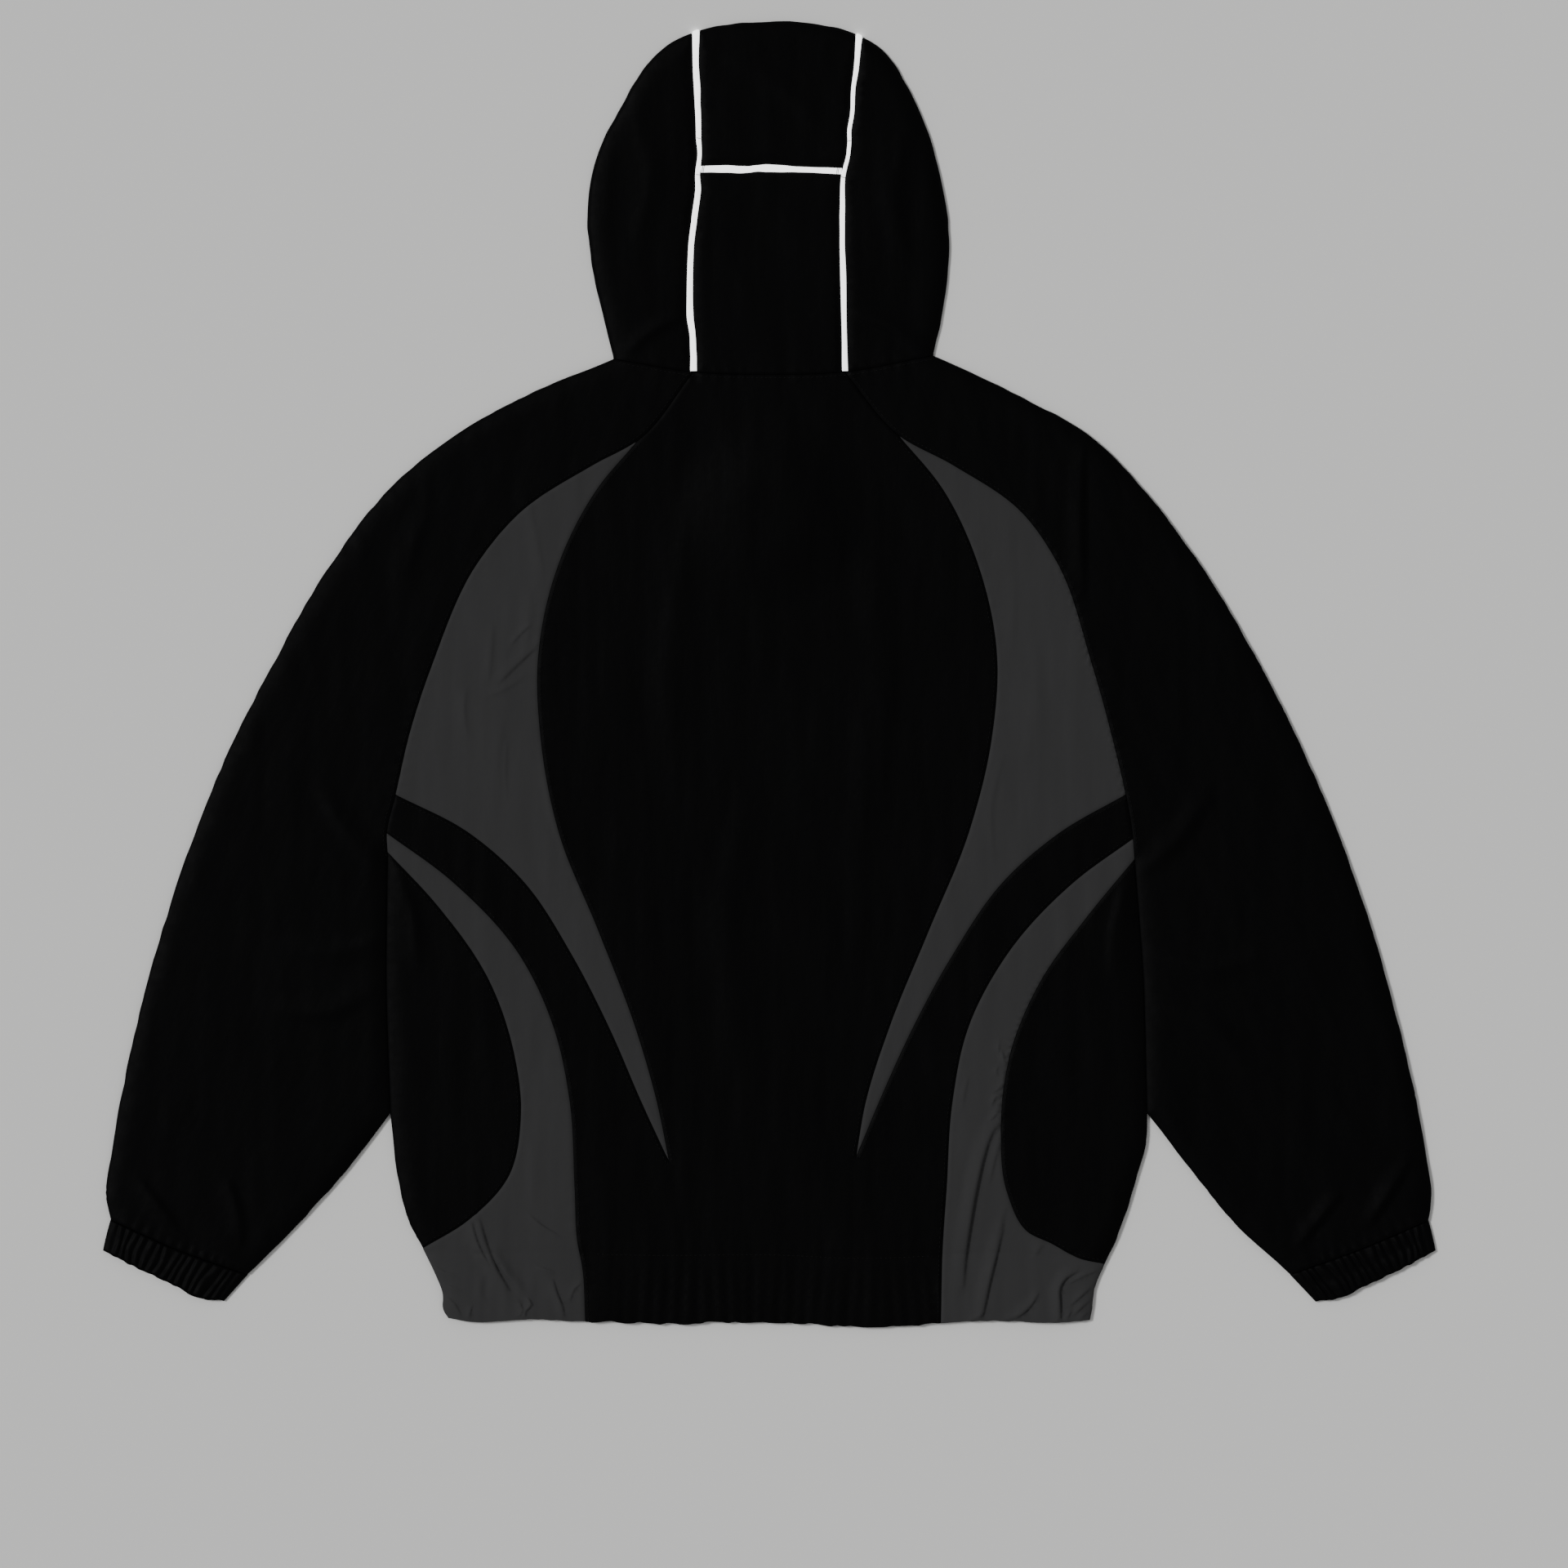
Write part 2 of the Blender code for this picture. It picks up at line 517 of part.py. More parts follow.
def make_object(name, vertices, faces, material, collection):
    mesh = bpy.data.meshes.new(name)
    mesh.from_pydata([tuple(vertex) for vertex in np.array(vertices) * MM], [], faces)
    mesh.materials.append(material)
    mesh.shade_smooth()
    made = bpy.data.objects.new(name, mesh)
    collection.objects.link(made)
    return made


def weld_and_face_out(made):
    """Joins doubled points and turns every face one way, with the highest one facing up."""
    work = bmesh.new()
    work.from_mesh(made.data)
    bmesh.ops.remove_doubles(work, verts=work.verts, dist=0.00001)
    bmesh.ops.recalc_face_normals(work, faces=work.faces)
    highest = max(work.faces, key=lambda face: face.calc_center_median().z)
    if highest.normal.z < 0:
        bmesh.ops.reverse_faces(work, faces=work.faces)
    work.to_mesh(made.data)
    work.free()


def thicken(made, thickness):
    """Gives an open surface its wall, half to each side."""
    wall = made.modifiers.new("wall", "SOLIDIFY")
    wall.thickness = thickness * MM
    wall.offset = 0.0
    wall.use_even_offset = True
    wall.use_quality_normals = True


def near_slider(points):
    return points[np.linalg.norm(points - np.array([0.0, SLIDER_Y]), axis=1) < LIFT_REACH + 15]


def flat_panel(name, edges, height, features, grid_spacing, material, collection):
    """A piece that lies in one layer."""
    loop = outline(edges)
    flat, faces = fill_loop(loop, features, grid_spacing)
    vertices = np.column_stack([flat, height(flat)])
    made = make_object(name, vertices, faces, material, collection)
    weld_and_face_out(made)
    thicken(made, WALL)
    return made


def rotate_to_start(loop, point):
    nearest = np.linalg.norm(loop - point, axis=1).argmin()
    return np.roll(loop, -nearest, axis=0)


def runs_with(loop, run):
    """The loop from the run's start, in the run's direction."""
    loop = rotate_to_start(loop, run[0])
    ahead = np.linalg.norm(loop[1] - run[1])
    behind = np.linalg.norm(loop[-1] - run[1])
    return loop if ahead < behind else np.roll(loop[::-1], 1, axis=0)


def inward_sides(edge, loop, count):
    """Unit vectors from the fold's edge into a layer, along its side edges at both ends."""
    side = sideways(edge)
    side *= np.sign(((loop.mean(axis=0) - edge) * side).sum(axis=1))[:, None]
    side[0] = (loop[-1] - edge[0]) / np.linalg.norm(loop[-1] - edge[0])
    side[-1] = (loop[count] - edge[-1]) / np.linalg.norm(loop[count] - edge[-1])
    return side


def folded_panel(name, fold, upper_edges, lower_edges, features, material, collection):
    """A piece that folds round a silhouette from the upper layer to the lower one."""
    fold_run = stretch(*fold)
    count = len(fold_run)
    upper_loop, lower_loop = (runs_with(outline([fold] + edges), fold_run)
                              for edges in (upper_edges, lower_edges))
    edge = upper_loop[:count].copy()
    for end, following in ((0, 1), (-1, -2)):
        way = edge[following] - edge[end]
        edge[end] += way / np.linalg.norm(way) * FOLD_TRIM
    inward = WALL / 4
    vertices, faces, rings = [], [], []
    for loop, height, level, points, spacing in (
            (upper_loop, upper_mid, LOWER_MID + 2 * FOLD_RADIUS, features, SPACING),
            (lower_loop, lower_mid, LOWER_MID, None, LOWER_SPACING)):
        side = inward_sides(edge, loop, count)
        ring = edge + side * (FOLD_RADIUS + inward)
        inner = np.vstack([ring, loop[count - 1:], loop[:1]])
        if signed_area(inner) < 0:
            inner = inner[::-1]
        if points is None:
            points = near_slider(staggered_points(inner, SPACING))
        flat, triangles = fill_loop(inner, points, spacing)
        heights = height(flat)
        for point in ring:
            heights[np.linalg.norm(flat - point, axis=1).argmin()] = level
        start = len(vertices)
        vertices += [(x, y, z) for (x, y), z in zip(flat, heights)]
        faces += [[start + index for index in triangle] for triangle in triangles]
        rings.append([(x, y, level) for x, y in ring])
    bend = [(x, y, LOWER_MID + FOLD_RADIUS) for x, y in edge + side * inward]
    start = len(vertices)
    vertices += rings[0] + bend + rings[1]
    for k in range(count - 1):
        for row in (0, count):
            corner = start + row + k
            faces.append([corner, corner + 1, corner + 1 + count, corner + count])
    made = make_object(name, vertices, faces, material, collection)
    weld_and_face_out(made)
    thicken(made, WALL)
    return made


def ribbon(name, left, right, thickness, material, collection):
    """A band between two rows of points."""
    vertices = [tuple(point) for point in left] + [tuple(point) for point in right]
    count = len(left)
    faces = [[k, k + 1, count + k + 1, count + k] for k in range(count - 1)]
    made = make_object(name, vertices, faces, material, collection)
    weld_and_face_out(made)
    thicken(made, thickness)
    return made


def across_fold(edge_way, way, half):
    """Along the fold's edge, as far as a band of that half width reaches when it crosses."""
    return edge_way * half / abs(edge_way[0] * way[1] - edge_way[1] * way[0])


def long_piping(name, seam, under_seam, edge_point, material, collection):
    """Piping that climbs the back of the hood, folds over its top and runs to the face opening."""
    half = PIPING_WIDTH[name] / 2
    lower_level = PIPING_THICK / 2
    upper_level = lower_level + 2 * FOLD_RADIUS + PIPING_PROUD
    top = seam[-1]
    clear_of_top = 6.0
    climb = seam[np.linalg.norm(seam - top, axis=1) > clear_of_top]
    descent = under_seam[np.linalg.norm(under_seam - top, axis=1) > clear_of_top]
    edge_way = SPANS["hood_edge"][edge_point - 1][-2] - SPANS["hood_edge"][edge_point][1]
    edge_way = edge_way / np.linalg.norm(edge_way)
    climb_way = (top - climb[-1]) / np.linalg.norm(top - climb[-1])
    descent_way = (under_seam[-1] - top) / np.linalg.norm(under_seam[-1] - top)
    above = across_fold(edge_way, climb_way, half)
    below = across_fold(edge_way, descent_way, half)
    narrower = min(above, below, key=np.linalg.norm)

    sides = list(sideways(np.vstack([climb, top]))[:-1] * half)
    heights = upper_mid(climb) + PIPING_PROUD
    climb[0] += climb_way * NECK_CLEAR
    rows = [(*point, height) for point, height in zip(climb, heights)]

    inner_reach = FOLD_RADIUS + WALL / 4
    rows.append((*(top - climb_way * inner_reach), upper_level))
    rows.append((*(top + climb_way * PIPING_PROUD), (upper_level + lower_level) / 2))
    rows.append((*(top + descent_way * inner_reach), lower_level))
    sides += [above, narrower, below]

    rows += [(*point, lower_level) for point in descent]
    sides += [np.array([-descent_way[1], descent_way[0]]) * half] * len(descent)
    rows = np.array(rows)
    sides = np.array([side * np.sign(side @ above) for side in sides])
    reach = np.column_stack([sides, np.zeros(len(rows))])
    return ribbon(name, rows + reach, rows - reach, PIPING_THICK, material, collection)


def cross_piping(name, seam, material, collection):
    """Short piping between the two long ones."""
    line = seam.copy()
    line[0, 0] += PIPING_WIDTH["piping_left"] / 2 + SEAM_GAP
    line[-1, 0] -= PIPING_WIDTH["piping_right"] / 2 + SEAM_GAP
    side = sideways(line) * PIPING_WIDTH[name] / 2
    height = upper_mid(line) + PIPING_PROUD
    left = np.column_stack([line + side, height])
    right = np.column_stack([line - side, height])
    return ribbon(name, left, right, PIPING_THICK, material, collection)


def spread_evenly(line, share):
    """Points at the given shares of a line's length."""
    place = np.concatenate([[0], np.cumsum(np.linalg.norm(np.diff(line, axis=0), axis=1))])
    place /= place[-1]
    return np.column_stack([np.interp(share, place, line[:, axis]) for axis in (0, 1)])


def cuff(name, side, material, collection):
    """An elastic band, flattened to two gathered layers that meet at two folds."""
    share = np.linspace(0, 1, 2 * CUFF_GATHERS + 1)
    top_row = spread_evenly(stretch(f"cuff_seam_{side}", 0, 2), share)
    end_row = spread_evenly(stretch(f"cuff_end_{side}", 0, 4), share)
    outer = stretch(f"cuff_outer_{side}", 0, 2)
    across = top_row[-1] - top_row[0]
    across /= np.linalg.norm(across)
    down = end_row - top_row
    down /= np.linalg.norm(down, axis=1)[:, None]
    top_row = top_row + down * SEAM_GAP / 2
    fold_in = 0.75 * WALL
    squeeze = (1 - 2 * share[:, None]) * across * fold_in
    top_row, end_row = top_row + squeeze, end_row + squeeze
    middle_row = (top_row + end_row) / 2
    middle_row[0] += outer[len(outer) // 2] - (outer[0] + outer[-1]) / 2
    crest = (1 - np.cos(share * CUFF_GATHERS * 2 * math.pi)) / 2
    rolled = np.sqrt(np.sin(math.pi * share))
    bend = LOWER_MID + FOLD_RADIUS
    vertices, faces = [], []
    for row, loft in zip((top_row, middle_row, end_row), CUFF_LOFTS):
        upper = bend + FOLD_RADIUS + loft * rolled + CUFF_GATHER_HEIGHT * crest
        vertices += [(x, y, z) for (x, y), z in zip(row, upper)]
        vertices.append((*(row[-1] + across * FOLD_RADIUS), bend))
        vertices += [(x, y, LOWER_MID) for x, y in row[::-1]]
        vertices.append((*(row[0] - across * FOLD_RADIUS), bend))
    ring = len(vertices) // len(CUFF_LOFTS)
    for row_number in range(len(CUFF_LOFTS) - 1):
        for k in range(ring):
            a = row_number * ring + k
            b = row_number * ring + (k + 1) % ring
            faces.append([a, b, b + ring, a + ring])
    made = make_object(name, vertices, faces, material, collection)
    weld_and_face_out(made)
    thicken(made, WALL)
    return made


# ---------------------------------------------------------------- zip

def zip_half(name, side, material, collection):
    """One tape with its row of teeth, along the inner side of a front's edge."""
    chain_end = SLIDER_Y + SLIDER_LENGTH / 2 - POST_DEPTH - 3 * SEAM_GAP
    stations = [(y, True) for y in np.linspace(TAPE_BOTTOM, 60.0, 8)]
    stations += [(y, True) for y in np.linspace(72.0, chain_end, 4)]
    stations += [(chain_end + 0.5, False), (TAPE_TOP, False)]
    tape_low = WALL + SEAM_GAP
    tape_high = tape_low + TAPE_THICK
    vertices, faces = [], []
    for y, has_teeth in stations:
        rise = lift(np.array([[0.0, y]]))[0]
        inner = SEAM_GAP / 2 if has_teeth else OPEN_CHAIN
        teeth_low = SEAM_GAP if has_teeth else tape_low - 0.2
        section = [(TAPE_WIDTH, tape_high), (TAPE_WIDTH, tape_low), (CHAIN_WIDTH, tape_low),
                   (CHAIN_WIDTH, teeth_low), (inner, teeth_low), (inner, tape_high)]
        vertices += [(side * x, y, z + rise) for x, z in section]
    size = len(section)
    for row in range(len(stations) - 1):
        for k in range(size):
            a = row * size + k
            b = row * size + (k + 1) % size
            faces.append([a, b, b + size, a + size])
    faces.append(list(range(size)))
    faces.append([len(vertices) - size + k for k in range(size)][::-1])
    made = make_object(name, vertices, faces, material, collection)
    work = bmesh.new()
    work.from_mesh(made.data)
    bmesh.ops.recalc_face_normals(work, faces=work.faces)
    work.to_mesh(made.data)
    work.free()
    made.data.set_sharp_from_angle(angle=math.radians(30))
    return made


def box(name, low, high, material, collection, taper=1.0):
    """A block between two corners; taper narrows its -Y end."""
    low, high = np.array(low, float), np.array(high, float)
    mesh = bpy.data.meshes.new(name)
    work = bmesh.new()
    bmesh.ops.create_cube(work, size=1.0)
    for vertex in work.verts:
        width = taper if vertex.co.y < 0 else 1.0
        place = (low + high) / 2 + np.array(vertex.co) * (high - low) * (width, 1, 1)
        vertex.co = Vector(place * MM)
    work.to_mesh(mesh)
    work.free()
    mesh.materials.append(material)
    made = bpy.data.objects.new(name, mesh)
    collection.objects.link(made)
    return made


def unite(base, helper):
    helper.hide_render = True
    helper.display_type = "WIRE"
    union = base.modifiers.new(helper.name, "BOOLEAN")
    union.operation = "UNION"
    union.object = helper


def zip_slider(name, material, collection, helpers):
    """Two plates on either side of the chain, a post where the chain ends, and the pull's arch."""
    low_y = SLIDER_Y - SLIDER_LENGTH / 2
    high_y = SLIDER_Y + SLIDER_LENGTH / 2
    half = SLIDER_WIDTH / 2
    taper = 0.8
    sunk = 0.1                    # how far one block reaches into the next
    outer_low = LIFT - PLATE_THICK
    inner_low = LIFT + WALL + 2 * SEAM_GAP + TAPE_THICK
    inner_high = inner_low + PLATE_THICK
    arch_low = outer_low - ARCH_RISE
    slider = box(name, (-half, low_y, outer_low), (half, high_y, LIFT),
                 material, collection, taper)
    inner_plate = box("slider_inner_plate", (-half, low_y, inner_low), (half, high_y, inner_high),
                      material, helpers, taper)
    post = box("slider_post", (-POST_WIDTH / 2, high_y - sunk - POST_DEPTH, outer_low + sunk),
               (POST_WIDTH / 2, high_y - sunk, inner_high - sunk), material, helpers)
    arch = box("slider_arch", (-ARCH_WIDTH / 2, SLIDER_Y - ARCH_LENGTH / 2, arch_low),
               (ARCH_WIDTH / 2, SLIDER_Y + ARCH_LENGTH / 2, outer_low + 2 * sunk),
               material, helpers)
    eye_half = ARCH_LENGTH / 2 - ARCH_WALL
    eye = box("slider_eye", (-ARCH_WIDTH, SLIDER_Y - eye_half, arch_low + ARCH_WALL),
              (ARCH_WIDTH, SLIDER_Y + eye_half, outer_low), material, helpers)
    for block in (inner_plate, post, arch, eye):
        unite(slider, block)
    slider.modifiers[eye.name].operation = "DIFFERENCE"
    return slider


def zip_pull(name, material, collection):
    """A flat tab with a window, hinged on its end bar inside the slider's arch."""
    curve = bpy.data.curves.new(name, "CURVE")
    curve.dimensions = "2D"
    curve.fill_mode = "BOTH"
    curve.extrude = PULL_THICK / 2 * MM
    half = PULL_WIDTH / 2
    bar = PULL_THICK / 2
    low = -PULL_LENGTH
    window_half = PULL_WINDOW[0] / 2
    window_low = -bar - PULL_WINDOW[1]
    tab = [(-half, bar), (-half, low + PULL_CORNER), (-half + PULL_CORNER, low),
           (half - PULL_CORNER, low), (half, low + PULL_CORNER), (half, bar)]
    window = [(-window_half, -bar), (window_half, -bar),
              (window_half, window_low), (-window_half, window_low)]
    for points in (tab, window):
        spline = curve.splines.new("POLY")
        spline.points.add(len(points) - 1)
        for target, (x, y) in zip(spline.points, points):
            target.co = (x * MM, y * MM, 0.0, 1.0)
        spline.use_cyclic_u = True
    curve.materials.append(material)
    pull = bpy.data.objects.new(name, curve)
    pull.location = Vector((0.0, HINGE_Y, LIFT - PLATE_THICK - ARCH_WALL)) * MM
    collection.objects.link(pull)
    return pull


# ---------------------------------------------------------------- the jacket

def build_jacket():
    jacket = scene_collection("hooded_track_jacket")
    helpers = scene_collection("helpers")
    materials = {
        "black_cloth": make_material("black_cloth", (0.006, 0.006, 0.007), 0.72),
        "gray_cloth": make_material("gray_cloth", (0.028, 0.028, 0.029), 0.75),
        "reflective": make_material("reflective", (0.85, 0.86, 0.87), 0.35),
        "zip_tape": make_material("zip_tape", (0.008, 0.008, 0.009), 0.7),
        "zip_metal": make_material("zip_metal", (0.02, 0.02, 0.022), 0.35, 0.9),
    }
    features = feature_points()
    for name, (slot, edges) in UPPER_PANELS.items():
        flat_panel(name, edges, upper_mid, features, SPACING, materials[slot], jacket)
    for name, (slot, edges) in LOWER_PANELS.items():
        around_slider = near_slider(staggered_points(outline(edges), SPACING))
        flat_panel(name, edges, lower_mid, around_slider, LOWER_SPACING, materials[slot], jacket)
    for name, (slot, fold, upper_edges, lower_edges) in FOLDED_PANELS.items():
        folded_panel(name, fold, upper_edges, lower_edges, features, materials[slot], jacket)
    for side, edge_point in (("left", 7), ("right", 11)):
        long_piping(f"piping_{side}", stretch(f"piping_{side}", 0, 6),
                    stretch(f"under_seam_{side}", 0, 1), edge_point,
                    materials["reflective"], jacket)
        cuff(f"cuff_{side}", side, materials["black_cloth"], jacket)
    cross_piping("piping_cross", stretch("piping_cross", 0, 2), materials["reflective"], jacket)
    zip_half("zip_left", -1, materials["zip_tape"], jacket)
    zip_half("zip_right", 1, materials["zip_tape"], jacket)
    zip_slider("zip_slider", materials["zip_metal"], jacket, helpers)
    zip_pull("zip_pull", materials["zip_metal"], jacket)


build_jacket()
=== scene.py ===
"""The looks of a hooded track jacket that lies zipped up and flat on its front, back side up.

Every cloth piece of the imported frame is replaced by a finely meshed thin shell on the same
curves and heights, with its creases, gathers, seams and stitches. Tables and lengths are in
millimetres in the frame's own axes: +X to the right, +Y towards the hood, +Z up, floor at 0.
"""
import math

import bmesh
import bpy
import numpy as np
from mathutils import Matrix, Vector
from mathutils.geometry import delaunay_2d_cdt
from mathutils.kdtree import KDTree


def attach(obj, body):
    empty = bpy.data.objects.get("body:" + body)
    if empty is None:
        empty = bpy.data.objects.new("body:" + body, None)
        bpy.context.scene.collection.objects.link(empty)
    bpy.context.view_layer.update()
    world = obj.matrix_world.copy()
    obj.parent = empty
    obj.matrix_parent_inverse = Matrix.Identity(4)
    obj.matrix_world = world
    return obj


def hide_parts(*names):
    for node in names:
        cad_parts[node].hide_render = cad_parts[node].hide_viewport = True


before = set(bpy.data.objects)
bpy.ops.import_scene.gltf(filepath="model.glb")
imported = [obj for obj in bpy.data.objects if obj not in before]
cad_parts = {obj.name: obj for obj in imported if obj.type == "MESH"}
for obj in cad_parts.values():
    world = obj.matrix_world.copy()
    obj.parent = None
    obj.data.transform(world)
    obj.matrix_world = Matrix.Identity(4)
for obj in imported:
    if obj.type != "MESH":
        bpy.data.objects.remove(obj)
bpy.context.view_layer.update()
MM = 0.001
SIDES = ("left", "right")

# Cloth, as in the frame
WALL = 1.2
SEAM_GAP = 0.3
ARM_LAP = 1.2                 # a sleeve's lower layer reaches this far under the body's side
LOWER_MID = WALL / 2
UPPER_EDGE = WALL + SEAM_GAP + WALL / 2
LOFT = 3.0
ROLL = 13.0
FOLD_RADIUS = 0.9
FOLD_INSET = WALL / 4         # a fold's outermost line lies this far inside the outline
FOLD_TRIM = 0.5               # and it stops this far before its corners
FOLD_STEPS = 6
CORNER_REACH = 14.0           # an outline has no sample nearer to a moved corner than
CORNER_CLEAR = 1.8            # CORNER_CLEAR, among those this near to the corner's first place
PIPING_WIDTH = {"piping_left": 5.0, "piping_right": 4.4, "piping_cross": 6.0}
PIPING_THICK = 1.6
PIPING_PROUD = 0.3
PIPING_DROP = 1.25            # panels meet in a channel this deep below the piping
PIPING_OPEN = (6.0, 14.0)     # and part where it nears the hood's edge, between these distances
PIPING_BEND = 4.0             # the piping turns over the hood's edge within this distance of it
CROSS_CLEAR = 1.9             # the piping across stops this far from the middle of the long ones
NECK_CLEAR = 0.8
ZIP_GAP = 5.0
TAPE_WIDTH = 15.0
TAPE_THICK = 1.0
TAPE_BOTTOM = -474.0
TAPE_TOP = 137.0
SLIDER_Y = 122.0
HINGE_Y = SLIDER_Y - 1.5
PLATE_THICK = 1.2
ARCH_WALL = 0.8
PULL_LENGTH = 22.0
PULL_THICK = 1.0
LIFT = 4.2                    # both layers rise this far over the slider and its pull
LIFT_Y = SLIDER_Y - 5.0
LIFT_FLAT = 18.0
LIFT_REACH = 75.0
HEM_OPEN = 0.45

# Fineness
EDGE_STEP = 2.4
UPPER_GRID = 4.2
GRAY_GRID = 3.2
LOWER_GRID = 8.0
CREASE_STEP = 1.6
CUFF_STEPS = 150
CUFF_ROWS = 12
COARSE_STEP = 8.0             # for curves that only distances are taken to
RING_INSETS = (0.45, 1.0, 1.9, 3.2)

# Seams
SEAM_DROP = 0.6               # a panel's edge turns down this far into its seam
SEAM_TURN = 1.9               # over this width
UNDER_GROOVE = 0.26           # a seam of the lower layer lies this far above the floor
UNDER_GROOVE_HALF = 1.4       # over this half width,
UNDER_GROOVE_SIDE = 2.2       # with sides this wide
UNDER_INSET = 1.9             # its stitches run this far from it
SEAM_REACH = 4.0              # a seam's shape ends within this distance, and is whole this far
                              # from an outer edge
STITCH_INSET = 2.4            # topstitching runs this far from a seam
STITCH_PITCH = 3.4
STITCH_SHARE = 0.74           # the thread shows on this much of the pitch
THREAD_WIDTH = 0.5

# Gathers
GATHERED = (-134.0, 126.0)    # elastic gathers the hem of the centre back from x to x
HEM_RIPPLE = (0.8, 5.0, 12.0)       # unevenness of the gathered hem's edge: size, two pitches
PLAIN_RIPPLE = (0.3, 9.0, 21.0)     # and of every other outer edge
RIPPLE_FADE = 12.0
CASING_HEIGHT = 50.0          # the hem is turned up and stitched this far above its edge
CASING_STITCHED = (-133.0, 124.0)
CASING_WAVES = 46
CASING_WAVE_HEIGHT = 0.75
CASING_ABOVE = 14.0           # the waves die away within this distance above the casing
PLAIN_CASING = 0.3            # the waves' share where the hem isn't gathered
CUFF_WALL = 0.9
CUFF_DEPTH = 24.0
CUFF_RIB = 6.4
CUFF_RISE = 1.7
CUFF_FRILL = 0.55

